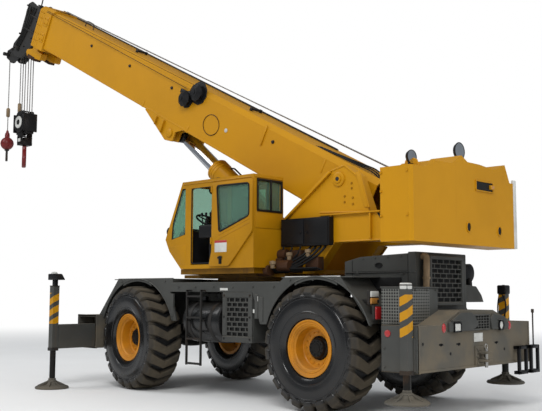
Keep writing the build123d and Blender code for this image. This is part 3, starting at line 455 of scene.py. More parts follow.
def make_age_group():
    """Where a surface is dusty, worn at its edges, streaked and patchy, and its fine relief."""
    inputs = {"Patch Scale": 1.2, "Grain Scale": 60.0, "Dust Top": 0.6, "Edge": 0.006}
    outputs = {"Dust": "Float", "Wear": "Float", "Streaks": "Float", "Patches": "Float", "Relief": "Float"}
    tree, given, result = new_group("Surface age", inputs, outputs)
    place = add(tree, "TexCoord")
    at = place.outputs["Object"]
    across = add(tree, "SeparateXYZ", {0: place.outputs["Normal"]})
    where = add(tree, "SeparateXYZ", {0: at})
    patches = noise(tree, at, given.outputs["Patch Scale"], 4.0)
    grain = noise(tree, at, given.outputs["Grain Scale"], 3.0)
    upward = span(tree, across.outputs["Z"], 0.35, 0.95)
    low = span(tree, where.outputs["Z"], given.outputs["Dust Top"], 0.0)
    settled = maths(tree, "ADD", maths(tree, "MULTIPLY", upward, 0.55), low)
    dusty = maths(tree, "MULTIPLY", settled, span(tree, patches, 0.3, 0.62, 0.35, 1.0))
    tall = add(tree, "Mapping", {"Vector": at, "Scale": (7.0, 7.0, 0.55)}).outputs[0]
    runs = span(tree, noise(tree, tall, 1.6, 5.0, 0.65), 0.56, 0.78)
    upright = span(tree, maths(tree, "ABSOLUTE", across.outputs["Z"]), 0.6, 0.1)
    round_edges = add(tree, "Bevel", {"Radius": given.outputs["Edge"]}, samples=3).outputs[0]
    flat = add(tree, "NewGeometry").outputs["Normal"]
    along = add(tree, "VectorMath", {0: round_edges, 1: flat}, operation="DOT_PRODUCT").outputs["Value"]
    chips = span(tree, noise(tree, at, 9.0, 6.0, 0.7), 0.42, 0.6)
    edge_mark = maths(tree, "MULTIPLY", span(tree, along, 0.985, 0.9), chips)
    feeds = {"Dust": dusty, "Wear": edge_mark, "Streaks": maths(tree, "MULTIPLY", runs, upright),
        "Patches": patches, "Relief": maths(tree, "ADD", maths(tree, "MULTIPLY", patches, 0.6),
        maths(tree, "MULTIPLY", grain, 0.12))}
    for label, value in feeds.items():
        tree.links.new(value, result.inputs[label])
    return tree


def make_grit_group():
    """Specks and fine relief for rubber, plastic and cast iron."""
    tree, given, result = new_group("Grit", {"Scale": 140.0}, {"Specks": "Float", "Cloud": "Float",
        "Relief": "Float"})
    at = add(tree, "TexCoord").outputs["Object"]
    cells = add(tree, "TexVoronoi", {"Vector": at, "Scale": given.outputs["Scale"]}).outputs["Distance"]
    cloud = noise(tree, at, 2.2, 5.0, 0.6)
    fine = noise(tree, at, given.outputs["Scale"], 2.0)
    feeds = {"Specks": span(tree, cells, 0.32, 0.12), "Cloud": cloud, "Relief": maths(tree, "ADD", cells,
        fine)}
    for label, value in feeds.items():
        tree.links.new(value, result.inputs[label])
    return tree


def new_coat(name, **fixed):
    """A material with its shader; constants are set on the shader itself."""
    material = bpy.data.materials.new(name)
    material.use_nodes = True
    tree = material.node_tree
    tree.nodes.clear()
    shader = add(tree, "BsdfPrincipled", {label: value for label, value in fixed.items()})
    output = add(tree, "OutputMaterial")
    tree.links.new(shader.outputs[0], output.inputs["Surface"])
    return tree, shader


def use_group(tree, name, **feeds):
    """Places a node group; its inputs are given with underscores for spaces."""
    node = tree.nodes.new("ShaderNodeGroup")
    node.node_tree = bpy.data.node_groups[name]
    for label, value in feeds.items():
        node.inputs[label.replace("_", " ")].default_value = value
    return node.outputs


def feed(tree, shader, colour=None, roughness=None, relief=None, strength=0.3, depth=0.004, metallic=None):
    """Connects what changes over the surface to the shader."""
    pairs = {"Base Color": colour, "Roughness": roughness, "Metallic": metallic}
    for label, value in pairs.items():
        if value is not None:
            tree.links.new(value, shader.inputs[label])
    if relief is not None:
        bump = add(tree, "Bump", {"Height": relief, "Strength": strength, "Distance": depth})
        tree.links.new(bump.outputs[0], shader.inputs["Normal"])


def paint(name, base, dust=0.3, dust_top=0.6, wear=0.5, wear_colour=(0.10, 0.07, 0.05), streaks=0.2,
        streak_colour=(0.12, 0.06, 0.02), rough=(0.38, 0.55), shine=0.03, patch=1.2, uneven=0.12,
        gloss=0.25):
    """Sprayed paint that has aged outdoors."""
    tree, shader = new_coat(name, **{"Coat Weight": shine, "Coat Roughness": 0.2, "Specular IOR Level": gloss})
    age = use_group(tree, "Surface age", Patch_Scale=patch, Dust_Top=dust_top)
    tone = blended(tree, span(tree, age["Patches"], 0.35, 0.68), opaque(base), opaque(base, 1 - uneven * 2))
    tone = blended(tree, maths(tree, "MULTIPLY", age["Streaks"], streaks), tone, opaque(streak_colour))
    tone = blended(tree, maths(tree, "MULTIPLY", age["Wear"], wear), tone, opaque(wear_colour))
    tone = blended(tree, maths(tree, "MULTIPLY", age["Dust"], dust), tone, opaque(colours().dust))
    matt = maths(tree, "ADD", span(tree, age["Patches"], 0.3, 0.7, *rough), maths(tree, "MULTIPLY",
        age["Dust"], 0.3))
    feed(tree, shader, tone, matt, age["Relief"], 0.22, 0.006)
    return tree, shader, tone


def gritty(name, base, cloud=0.3, rough=(0.45, 0.65), scale=140.0, strength=0.3, metallic=0.0, tint=None,
        share=0.5, gloss=0.2, **fixed):
    """Rubber, plastic and cast or oily metal."""
    tree, shader = new_coat(name, **{"Metallic": metallic, "Specular IOR Level": gloss, **fixed})
    grit = use_group(tree, "Grit", Scale=scale)
    tone = blended(tree, span(tree, grit["Cloud"], 0.35, 0.7), opaque(base), opaque(base, 1 - cloud))
    if tint:
        tone = blended(tree, span(tree, grit["Cloud"], 0.5, 0.62, 0.0, share), tone, opaque(tint))
    feed(tree, shader, tone, span(tree, grit["Cloud"], 0.3, 0.7, *rough), grit["Relief"], strength, 0.002)
    return tree, shader, tone


def make_tread():
    """Rubber with dry mud in the grooves, told by the tyre's own mud attribute."""
    tree, shader = new_coat("tread rubber", **{"Specular IOR Level": 0.25})
    grit = use_group(tree, "Grit", Scale=90.0)
    mud = add(tree, "Attribute", attribute_name="mud").outputs["Fac"]
    caked = maths(tree, "MULTIPLY", mud, span(tree, grit["Cloud"], 0.3, 0.6, 0.45, 1.0))
    tone = blended(tree, caked, opaque(colours().rubber, 0.8), opaque(colours().dust, 0.50))
    tone = blended(tree, maths(tree, "MULTIPLY", grit["Specks"], 0.2), tone, opaque(colours().dust, 0.4))
    feed(tree, shader, tone, span(tree, caked, 0.1, 0.8, 0.5, 0.92), grit["Relief"], 0.5, 0.004)


def make_walls():
    """Dark sidewall rubber, shiny where it is clean."""
    tree, shader = new_coat("wall rubber", **{"Specular IOR Level": 0.5})
    grit = use_group(tree, "Grit", Scale=60.0)
    mud = add(tree, "Attribute", attribute_name="mud").outputs["Fac"]
    film = maths(tree, "MULTIPLY", span(tree, grit["Cloud"], 0.42, 0.72), 0.12)
    film = maths(tree, "ADD", film, maths(tree, "MULTIPLY", mud, 0.4))
    tone = blended(tree, film, opaque(colours().rubber, 0.40), opaque(colours().dust, 0.28))
    feed(tree, shader, tone, span(tree, film, 0.0, 0.4, 0.20, 0.7), grit["Relief"], 0.12, 0.002)


def make_stripes():
    """Slanting warning bands on the grey jack posts, between two heights."""
    tree, shader, tone = paint("striped post", colours().carrier, dust=0.5, dust_top=0.9)
    at = add(tree, "SeparateXYZ", {0: add(tree, "TexCoord").outputs["Object"]})
    slant = maths(tree, "ADD", at.outputs["X"], at.outputs["Y"])
    slant.node.use_clamp = False
    rise = maths(tree, "MULTIPLY", slant, 0.45)
    height = maths(tree, "ADD", at.outputs["Z"], rise)
    height.node.use_clamp = False
    band = maths(tree, "FRACT", maths(tree, "DIVIDE", height, 0.18))
    inside = maths(tree, "LESS_THAN", maths(tree, "ABSOLUTE", maths(tree, "SUBTRACT", at.outputs["Z"],
        1.26)), 0.245)
    yellow = maths(tree, "MULTIPLY", maths(tree, "LESS_THAN", band, 0.58), inside)
    tone = blended(tree, yellow, tone, opaque(colours().boom))
    feed(tree, shader, tone)


def make_perforated():
    """Punched sheet: dark round holes in rows over the carrier's paint."""
    tree, shader, tone = paint("perforated", opaque(colours().carrier, 2.2)[:3], dust=0.5, dust_top=1.9)
    at = add(tree, "SeparateXYZ", {0: add(tree, "TexCoord").outputs["Object"]})
    along = maths(tree, "ADD", at.outputs["X"], at.outputs["Y"])
    along.node.use_clamp = False
    flat = add(tree, "CombineXYZ", {0: along, 1: at.outputs["Z"]}).outputs[0]
    cells = add(tree, "TexVoronoi", {"Vector": flat, "Scale": 27.0, "Randomness": 0.0},
        voronoi_dimensions="2D")
    hole = maths(tree, "LESS_THAN", cells.outputs["Distance"], 0.34)
    feed(tree, shader, blended(tree, hole, tone, (0.006, 0.006, 0.006, 1)))


def make_fly_paint():
    """The upper paint on the fly section's tube, and the head's dark paint beyond a line across the boom."""
    tree, shader, tone = paint("fly paint", colours().boom, **SPRAYED)
    at = add(tree, "VectorMath", {0: add(tree, "TexCoord").outputs["Object"], 1: TO_FRAME @ PIVOT},
        operation="SUBTRACT")
    ahead = (cos(BOOM_LEAN), 0, sin(BOOM_LEAN))
    along = add(tree, "VectorMath", {0: at.outputs[0], 1: ahead}, operation="DOT_PRODUCT").outputs["Value"]
    dark = maths(tree, "GREATER_THAN", along, HEAD_START)
    feed(tree, shader, blended(tree, dark, tone, (0.028, 0.027, 0.026, 1)))


def make_glass():
    """Tinted safety glass with a little dust on it."""
    tree, shader = new_coat("tinted glass", **{"Transmission Weight": 0.82, "IOR": 1.45,
        "Specular IOR Level": 0.6})
    grit = use_group(tree, "Grit", Scale=30.0)
    film = span(tree, grit["Cloud"], 0.45, 0.8, 0.0, 0.25)
    tone = blended(tree, film, opaque(colours().glass), opaque(colours().dust))
    feed(tree, shader, tone, span(tree, grit["Cloud"], 0.35, 0.75, 0.02, 0.12))


def make_metals():
    """Chromed rod, bare steel and the twisted wire of the ropes."""
    for name, base, rough in (("chromed rod", (0.72, 0.72, 0.74), (0.1, 0.22)),
            ("bare steel", (0.42, 0.41, 0.39), (0.3, 0.5)), ("mirror", (0.8, 0.82, 0.84), (0.03, 0.08))):
        tree, shader = new_coat(name, Metallic=1.0)
        grit = use_group(tree, "Grit", Scale=40.0)
        tone = blended(tree, span(tree, grit["Cloud"], 0.4, 0.75), opaque(base), opaque(base, 0.7))
        feed(tree, shader, tone, span(tree, grit["Cloud"], 0.3, 0.7, *rough), grit["Relief"], 0.05, 0.001)
    tree, shader = new_coat("wire rope", Metallic=0.7)
    at = add(tree, "Mapping", {"Vector": add(tree, "TexCoord").outputs["Object"], "Scale": (1, 1, 0.6)})
    strands = add(tree, "TexWave", {"Vector": at.outputs[0], "Scale": 16.0},
        bands_direction="DIAGONAL").outputs["Fac"]
    tone = blended(tree, strands, (0.1, 0.095, 0.09, 1), (0.34, 0.33, 0.31, 1))
    feed(tree, shader, tone, span(tree, strands, 0.0, 1.0, 0.6, 0.4), strands, 0.6, 0.004)


def make_lenses():
    """Ribbed lamp lenses."""
    for name, base in (("red lens", (0.42, 0.012, 0.014)), ("amber lens", (0.55, 0.25, 0.05)),
            ("clear lens", (0.62, 0.62, 0.58))):
        tree, shader = new_coat(name, **{"Coat Weight": 0.6, "Coat Roughness": 0.08})
        at = add(tree, "TexCoord").outputs["Object"]
        ribs = add(tree, "TexWave", {"Vector": at, "Scale": 38.0}, bands_direction="Z").outputs["Fac"]
        tone = blended(tree, maths(tree, "MULTIPLY", ribs, 0.35), opaque(base), opaque(base, 0.5))
        feed(tree, shader, tone, span(tree, ribs, 0.0, 1.0, 0.15, 0.35), ribs, 0.4, 0.003)


class CRANE_OT_finishes(CraneStep):
    """Mixes the paints, rubbers, metals and glass, and coats the frame's nodes that keep their shape."""

    bl_idname = "crane.finishes"
    bl_label = "Finishes"

    def build(self):
        make_age_group()
        make_grit_group()
        hue = colours()
        paint("upper paint", hue.boom, **SPRAYED)
        paint("carrier paint", hue.carrier, dust=0.42, dust_top=0.9, wear_colour=(0.17, 0.165, 0.15),
            streaks=0.1)
        paint("dusty paint", hue.carrier, dust=0.72, dust_top=2.6, wear_colour=(0.17, 0.165, 0.15),
            streaks=0.35, streak_colour=(0.05, 0.045, 0.038), shine=0.03, rough=(0.6, 0.8), patch=2.4)
        paint("head paint", (0.03, 0.029, 0.028), dust=0.25, wear=0.6, wear_colour=(0.12, 0.07, 0.03),
            streaks=0.3, streak_colour=(0.1, 0.055, 0.02))
        paint("rim paint", hue.rim, dust=0.35, dust_top=0.75, wear=0.3, wear_colour=(0.12, 0.06, 0.02),
            streaks=0.25, streak_colour=(0.16, 0.07, 0.02), patch=3.5, gloss=0.3)
        paint("hook paint", hue.hook, dust=0.1, wear=0.7, wear_colour=(0.07, 0.05, 0.045), streaks=0.2,
            streak_colour=(0.03, 0.01, 0.01), shine=0.2, patch=3.0)
        paint("white plate", (0.58, 0.58, 0.55), dust=0.3, dust_top=1.4, wear=0.3, streaks=0.15, patch=5.0)
        paint("exhaust tan", (0.27, 0.19, 0.11), dust=0.3, wear=0.5, streaks=0.5,
            streak_colour=(0.11, 0.055, 0.025), rough=(0.65, 0.85), shine=0.0, patch=4.0, uneven=0.2)
        paint("tank black", (0.007, 0.007, 0.007), dust=0.08, wear=0.3, streaks=0.2, rough=(0.2, 0.34),
            shine=0.12, gloss=0.4)
        # The turntable's coat is the upper paint at 0.42 of its brightness. This is painted shade, since the
        # turntable sits in the shadow of the superstructure. Heavy dark streaks lie over it.
        paint("shaded upper paint", opaque(hue.boom, 0.42)[:3], dust=0.15, dust_top=0.2, wear=0.6,
            wear_colour=(0.08, 0.04, 0.02), streaks=0.75, streak_colour=(0.045, 0.022, 0.01), shine=0.03,
            uneven=0.16, patch=2.2, gloss=0.2)
        paint("cab paint", opaque(hue.boom, 0.84)[:3], dust=0.1, dust_top=0.2, wear=0.4,
            wear_colour=(0.25, 0.12, 0.03), streaks=0.2, streak_colour=(0.22, 0.07, 0.006), shine=0.04,
            uneven=0.1, patch=0.9, gloss=0.16)
        gritty("dark steel", (0.035, 0.033, 0.031), tint=(0.07, 0.045, 0.028), metallic=0.25)
        gritty("oily steel", (0.018, 0.017, 0.016), rough=(0.28, 0.5), metallic=0.4,
            tint=(0.09, 0.05, 0.025))
        gritty("block paint", (0.01, 0.009, 0.009), rough=(0.3, 0.5), tint=(0.06, 0.035, 0.02), share=0.35)
        gritty("black rubber", (0.012, 0.012, 0.012), rough=(0.5, 0.7))
        gritty("moulded black", (0.009, 0.009, 0.01), rough=(0.32, 0.5), scale=260.0)
        gritty("rust primer", (0.06, 0.026, 0.012), cloud=0.55, tint=(0.035, 0.022, 0.015), share=0.8,
            strength=0.5)
        gritty("seat cloth", (0.022, 0.022, 0.024), rough=(0.85, 0.95), scale=420.0, strength=0.6,
            **{"Sheen Weight": 0.4})
        make_tread()
        make_walls()
        make_stripes()
        make_perforated()
        make_fly_paint()
        make_glass()
        make_metals()
        make_lenses()
        # The turntable gets the darkened upper paint, its painted shade.
        coat_nodes("shaded upper paint", "turntable")
        coat_nodes("cab paint", "cab_shell")
        coat_nodes("upper paint", "mast", "counterweight", "boom_base", "boom_mid_1", "boom_mid_2")
        coat_nodes("fly paint", "boom_fly")
        coat_nodes("carrier paint", "carrier_frame", "left_deck", "right_deck", "front_deck", "engine_hood",
            "right_tank")
        coat_nodes("dusty paint", "outrigger_boxes", "rear_hump")
        coat_nodes("dark steel", "engine", "slew_ring", *[f"{end}_{side}_knuckle" for end in AXLE_X
            for side in SIDES])
        coat_nodes("striped post", *[f"{end}_{side}_beam" for end in AXLE_X for side in SIDES])
        coat_nodes("tinted glass", "cab_glass")




# ---------------------------------------------------------------- wheels
# A wheel is drawn about its own middle, with +Y outward.
CROWN = 808
TREAD_FLOOR = 742
# Along a lug: share of its length, place across, top and base radius, share of its width and of its sweep.
LUG_LINE = (
    (0.00, -12, 808, 735, 0.92, -0.05),
    (0.15, 40, 808, 735, 0.95, 0.17),
    (0.35, 110, 807, 735, 1.00, 0.46),
    (0.55, 180, 804, 735, 1.06, 0.76),
    (0.70, 232, 796, 728, 1.14, 0.97),
    (0.80, 266, 768, 720, 1.16, 1.06),
    (0.90, 290, 722, 700, 1.08, 1.12),
    (1.00, 298.5, 672, 660, 0.86, 1.15),
)
LUG_SWEEP = 0.135


def on_lug_line(share):
    """The lug's line between its stations."""
    for low, high in zip(LUG_LINE, LUG_LINE[1:]):
        if share <= high[0] + 1e-06:
            part = (share - low[0]) / (high[0] - low[0])
            return [a + (b - a) * part for a, b in zip(low[1:], high[1:])]
    return LUG_LINE[-1][1:]


def make_lug():
    """One tread bar, from the middle of the tread over the shoulder and down the wall."""
    bpy.ops.object.select_all(action="DESELECT")
    bpy.ops.mesh.primitive_grid_add(x_subdivisions=10, y_subdivisions=1, size=1)
    lug = added()
    in_edit(lug, (bpy.ops.mesh.extrude_region_move, {"TRANSFORM_OT_translate": {"value": (0, 0, 1)}}))
    half = sizes().lug_width / 2
    for vertex in lug.data.vertices:
        share, side, top = (vertex.co.x + 0.5, copysign(1, vertex.co.y), vertex.co.z > 0.5)
        across, high, low, wide, sweep = on_lug_line(share)
        radius = high if top else low
        reach = half * wide * (0.86 if top else 1.12)
        angle = -LUG_SWEEP * sweep + side * reach / CROWN
        out = across if top else across - 20 * share
        vertex.co = (radius * cos(angle), out, radius * sin(angle))
    in_edit(lug, (bpy.ops.mesh.normals_make_consistent, {"inside": False}))
    return soften(lug, 7, 2, 30)


def make_tyre():
    """Carcass with its ribs, and the two rows of lugs."""
    wall = [(232, 346), (236, 378), (262, 388), (279, 418), (286, 452), (293, 458), (294, 472), (289, 480),
        (292.5, 520), (295.5, 558), (294.5, 600), (290, 636), (293, 642), (292, 652), (286, 658),
        (276, 692), (258, 722), (228, 734), (160, 739), (80, TREAD_FLOOR)]
    carcass = turned(wall + [(-out, radius) for out, radius in reversed(wall)], "Y", 96, smooth=28)
    lug = make_lug()
    count = sizes().lugs
    places = []
    for index in range(count):
        turn = tau * index / count
        places.append(Matrix.Rotation(-turn, 4, "Y"))
        places.append(Matrix.Rotation(-turn, 4, "Y") @ Matrix.Scale(-1, 4, (0, 1, 0)))
    tyre = joined(carcass, repeat(lug, places))
    mud = tyre.data.attributes.new("mud", "FLOAT", "POINT")
    for vertex, value in zip(tyre.data.vertices, mud.data):
        radius = hypot(vertex.co.x, vertex.co.z)
        deep = max(0.0, min(1.0, (CROWN - radius) / (CROWN - TREAD_FLOOR)))
        value.value = 0.85 * (1 - deep) if radius > 735 else max(0.0, (radius - 660) / 150)
    return tyre


def make_rim():
    """Flanged rim with its lock ring, conical dish and disc."""
    profile = [(250, 366), (246.5, 370), (-246, 370), (-250, 366), (-250, 323), (0, 316), (30, 300),
        (20, 272), (14, 168), (20, 158), (46, 158), (52, 168), (58, 246), (70, 258), (150, 266), (196, 272),
        (206, 284), (216, 290), (222, 312), (232, 318), (234, 340), (240, 346), (250, 350)]
    rim = turned(profile, "Y", 72, smooth=30)
    nuts = bolts(ring_of(16, 205, (0, 56, 0), "Y"), 10)
    lock = turned([(223, 296), (228, 300), (228, 309), (223, 312)], "Y", 72)
    return joined(rim, nuts, lock)


def make_hub():
    """Planetary hub behind the disc, with its cover and plug."""
    hub = turned([(-20, 60), (-20, 166), (12, 166), (12, 150), (50, 150), (60, 140), (66, 128), (100, 122),
        (110, 112), (110, 0), (65, 0), (65, 60)], "Y", 48)
    cover = solid([(108, 64), (116, 60), (119, 0)], "Y", 32)
    return joined(hub, cover, bolts(ring_of(10, 92, (0, 109, 0), "Y"), 10))


def wheel_place(end, side):
    """From a wheel's own middle to where it stands, steered as it is."""
    sign = SIDES[side]
    middle = Vector((AXLE_X[end], sign * WHEEL_Y, AXLE_Z))
    kingpin = Vector((AXLE_X[end], sign * KINGPIN_Y, AXLE_Z))
    steer = Matrix.Rotation(FRONT_STEER if end == "front" else 0, 4, "Z")
    return Matrix.Translation(kingpin) @ steer @ Matrix.Translation(middle - kingpin)


class CRANE_OT_wheels(CraneStep):
    """Makes one tyre, rim and hub, and copies them to the four wheels."""

    bl_idname = "crane.wheels"
    bl_label = "Wheels"

    def build(self):
        tyre, rim, hub = (make_tyre(), make_rim(), make_hub())
        shapes = (("tyre", tyre, "tread rubber"), ("rim", rim, "rim paint"), ("hub", hub, "oily steel"))
        for turn, (end, side) in enumerate(((end, side) for end in AXLE_X for side in SIDES)):
            outward = Matrix.Rotation(0 if side == "left" else pi, 4, "Z")
            roll = Matrix.Rotation(0.05 + 0.4 * turn, 4, "Y")
            for kind, shape, coat in shapes:
                copy = shape.copy()
                copy.data = shape.data.copy()
                bpy.context.collection.objects.link(copy)
                place = wheel_place(end, side) @ (roll if kind == "tyre" else outward)
                wall = ("wall rubber", lambda middle, normal: hypot(middle.x, middle.z) < 700)
                node = () if kind == "hub" else (f"{end}_{side}_{kind}",)
                finished(copy, f"{kind}_{end}_{side}", coat, f"{end}_{side}_wheel", place, node,
                    wall if kind == "tyre" else None)
        for shape in (tyre, rim, hub):
            bpy.data.objects.remove(shape)


# ---------------------------------------------------------------- carrier
REAR_FACE = -3610
BOX_SIDE = 1360
FENDER_SIDE = 1222
LIP_RADIUS = 927
CROWN_RADIUS = 885
TANK_AT = (0, 945, 1090)
JACKS = {  # x, y, underside of the float
    "front_left": (2798, 2100, 0), "front_right": (3122, -2100, 0),
    "rear_left": (-3512, 1460, 262), "rear_right": (-3188, -1460, 262),
}
POST_TOP = 1610


def grid_bars(low, high, columns, rows, thick, deep, axis, staggered=False):
    """Bars across an opening: unbroken across, and short uprights between them."""
    u0, v0, w = low
    u1, v1, _ = high
    step, rise = ((u1 - u0) / columns, (v1 - v0) / rows)

    def bar(a, b, c, d):
        corners = [Vector(placed(axis, a, c, w)), Vector(placed(axis, b, d, w + deep))]
        return block(*[min(pair) for pair in zip(*corners)], *[max(pair) for pair in zip(*corners)],
            thick * 0.2, 1)

    flat = bar(u0, u1, v0 - thick / 2, v0 + thick / 2)
    across = spread(flat, [placed(axis, 0, rise * row, 0) for row in range(rows + 1)])
    upright = bar(u0 - thick / 2, u0 + thick / 2, v0, v0 + rise)
    places = []
    for row in range(rows):
        shift = step / 2 if staggered and row % 2 else 0
        for column in range(columns + 1):
            out = min(column * step + shift, u1 - u0)
            places.append(placed(axis, out, rise * row, 0))
    return joined(across, spread(upright, places))


def picture_frame(low, high, edge, deep, axis, bevel=4):
    """Four bars round an opening."""
    u0, v0, w = low
    u1, v1, _ = high
    bars = []
    for a, b, c, d in ((u0, u1, v0, v0 + edge), (u0, u1, v1 - edge, v1), (u0, u0 + edge, v0 + edge,
            v1 - edge), (u1 - edge, u1, v0 + edge, v1 - edge)):
        corners = [Vector(placed(axis, a, c, w)), Vector(placed(axis, b, d, w + deep))]
        bars.append(block(*[min(pair) for pair in zip(*corners)], *[max(pair) for pair in zip(*corners)],
            bevel, 1))
    return joined(*bars)


class CRANE_OT_fenders(CraneStep):
    """Arch lips, deck edges, treads and small fittings along the fenders."""

    bl_idname = "crane.fenders"
    bl_label = "Fenders"

    def build(self):
        lips = []
        for end, start, stop in (("front", 20, 162), ("rear", 18, 160)):
            line = []
            for step in range(17):
                angle = radians(start + (stop - start) * step / 16)
                out, up = LIP_RADIUS * cos(angle), LIP_RADIUS * sin(angle)
                line.append((AXLE_X[end] + out, FENDER_SIDE, AXLE_Z + up))
            lips.append(pipe(line, 11, 8, bends=2))
        finished(both_sides(*lips), "fender_lips", "carrier paint")
        crowns, wells = [], []
        for x in AXLE_X.values():
            arc = [(x + CROWN_RADIUS * cos(a), AXLE_Z + CROWN_RADIUS * sin(a)) for a in (radians(114 - 4 * n)
                for n in range(13))]
            crowns.append(plate([*arc, (x + 360, 1731), (x - 360, 1731)], 1196, FENDER_SIDE, "Y", 0))
            crowns.append(block(x - 600, 620, 1718, x + 600, 1221, 1731, 2))
            wells.append(block(x - 920, 600, 1560, x + 920, 615, 1722, 3))
        finished(both_sides(*crowns), "fender_crowns", "carrier paint")
        finished(both_sides(*wells), "wheel_wells", "black rubber")
        edges = []
        for x0, x1, z in ((2300, 920, 1730), (920, -1300, 1660)):
            edges.append(rod((x0, 1212, z), (x1, 1212, z), 11, 8))
        # A pale rod along the deck edge over the rear fender; the deck edges further forward keep the carrier
        # paint.
        edge_mark = rod((-1400, 1212, 1730), (-2350, 1212, 1730), 10, 8)
        finished(both_sides(edge_mark), "worn_deck_edges", "white plate")
        finished(both_sides(*edges), "deck_edges", "carrier paint")
        grip = block(0, 0, 0, 50, 12, 5, 1.5, 1)
        places = []
        for row in range(14):
            for column in range(9):
                turn = Matrix.Rotation(radians(45 if (row + column) % 2 else -45), 4, "Z")
                places.append(Matrix.Translation((-1150 + row * 150, 800 + column * 45, 1662)) @ turn)
        finished(both_sides(repeat(grip, places)), "walkway_grip", "carrier paint")
        ribs = spread(block(-30, 1190, 1160, 30, 1232, 1500, 6, 1), [(930, 0, 0), (-870, 0, 0),
            (-970, 0, -40)])
        finished(both_sides(ribs), "skirt_ribs", "carrier paint")
        heads = [(x, 1221, 1600) for x in (780, 400, 0, -400, -800, -1200)]
        heads += [(x, 1221, 1690) for x in (2200, 1500, 1100, -1500, -1900, -2250)]
        finished(both_sides(bolts(heads, 12)), "skirt_bolts", "carrier paint")
        tags = joined(*[block(x, FENDER_SIDE, z, x + w, FENDER_SIDE + 6, z + h, 1, 1) for x, z, w,
            h in ((-905, 1400, 50, 70), (-300, 1550, 160, 35), (-840, 1240, 30, 50))])
        finished(tags, "blank_tags", "white plate")


class CRANE_OT_rear_face(CraneStep):
    """Lamp housings, lamps, reflectors, blank plate and tow pin on the rear outrigger box."""

    bl_idname = "crane.rear_face"
    bl_label = "Rear face"

    def build(self):
        rear = REAR_FACE
        left = [(735, 1060), (735, 1170), (470, 1285), (200, 1285), (60, 1170), (60, 1120), (200, 1060)]
        right = [(-300, 1060), (-260, 1200), (-340, 1265), (-620, 1225), (-745, 1130), (-720, 1060)]
        shells = joined(plate(left, rear - 32, rear, "X", 8), plate(right, rear - 32, rear, "X", 8))
        hoods = joined(block(rear - 58, 480, 1185, rear - 20, 700, 1200, 4), block(rear - 58, -600, 1180,
            rear - 20, -420, 1192, 4))
        rings = joined(turned([(-52, 54), (-52, 68), (-20, 72), (-20, 54)], "X", 32, (rear, -515, 1112)),
            picture_frame((485, 1050, rear - 50), (645, 1170, 0), 14, 30, "X"))
        finished([shells, hoods], "lamp_housings", "carrier paint", replaces="tail_lamps")
        finished(rings, "lamp_rims", "moulded black")
        lamp = solid([(-48, 0), (-45, 30), (-38, 54), (-20, 56)], "X", 32, (rear, -515, 1112))
        square = block(rear - 46, 498, 1063, rear - 20, 632, 1157, 12, 3)
        finished([lamp, square], "tail_lenses", "clear lens")
        mesh = grid_bars((-235, 1075, rear - 20), (175, 1245, 0), 6, 5, 10, 14, "X")
        finished([mesh, picture_frame((-250, 1060, rear - 26), (190, 1260, 0), 18, 26, "X")], "rear_mesh",
            "carrier paint")
        finished(plate([(-230, 1070), (170, 1070), (170, 1250), (-230, 1250)], rear - 6, rear - 2, "X", 0),
            "rear_mesh_back", "black rubber")
        oval = solid([(-18, 0), (-15, 30), (-6, 47), (0, 49)], "X", 28)
        oval = stretched(oval, 1, 0.85, 1.15)
        places = [(rear, 818, 1105), (rear, -800, 1100)]
        finished(spread(oval, places), "reflectors", "red lens")
        cover = joined(block(-3604, BOX_SIDE + 2, 604, -3096, BOX_SIDE + 16, 1136, 6),
            bolts([(x, BOX_SIDE + 16, z) for x in (-3560, -3140) for z in (650, 870)], 10))
        finished(cover, "beam_cover", "carrier paint", "rear_left_outrigger")
        dot = solid([(0, 42), (8, 40), (14, 0)], "Y", 28, (-3190, BOX_SIDE + 16, 1045))
        finished(dot, "beam_reflector", "red lens", "rear_left_outrigger")
        sign = joined(block(rear - 6, -92, 916, rear, 124, 1026, 3), bolts([(rear - 6, -75, 970),
            (rear - 6, 107, 970)], 6, (-1, 0, 0)))
        finished(sign, "blank_plate", "white plate")
        holes = solid([(-4, 18), (1, 18)], "X", 16)
        spots = [(1275, 934), (678, 797), (-652, 797), (886, 910), (485, 899), (-443, 887)]
        slots = [block(rear - 4, y, z, rear, y + 90, z + 22, 3) for y, z in ((840, 900), (450, 895),
            (-490, 880))]
        finished([spread(holes, [(rear, y, z) for y, z in spots]), *slots], "drain_holes", "black rubber")
        seams = [block(rear - 10, -1355, 602, rear, 1355, 628, 4), block(rear - 8, 1325, 630, rear, 1355,
            1135, 3), block(rear - 8, -1355, 630, rear, -1325, 1135, 3)]
        finished(seams, "box_seams", "dusty paint")
        jaw = [block(rear - 150, -70, z, rear - 20, 70, z + 30, 8) for z in (670, 770)]
        jaw.append(block(rear - 24, -115, 622, rear, 115, 862, 6))
        pin = rod((rear - 100, 0, 600), (rear - 100, 0, 830), 21, 20)
        ring = pipe(ring_of(10, 32, (rear - 100, 0, 860), "X"), 6, 8, closed=True)
        finished([*[cut(part, rod((rear - 100, 0, 500), (rear - 100, 0, 950), 22, 20)) for part in jaw[:2]],
            jaw[2], bolts([(rear - 24, y, z) for y in (-90, 90) for z in (650, 740, 830)],
            direction=(-1, 0, 0))], "tow_jaw", "dusty paint", replaces="tow_clevis")
        finished([pin, ring], "tow_pin", "bare steel")


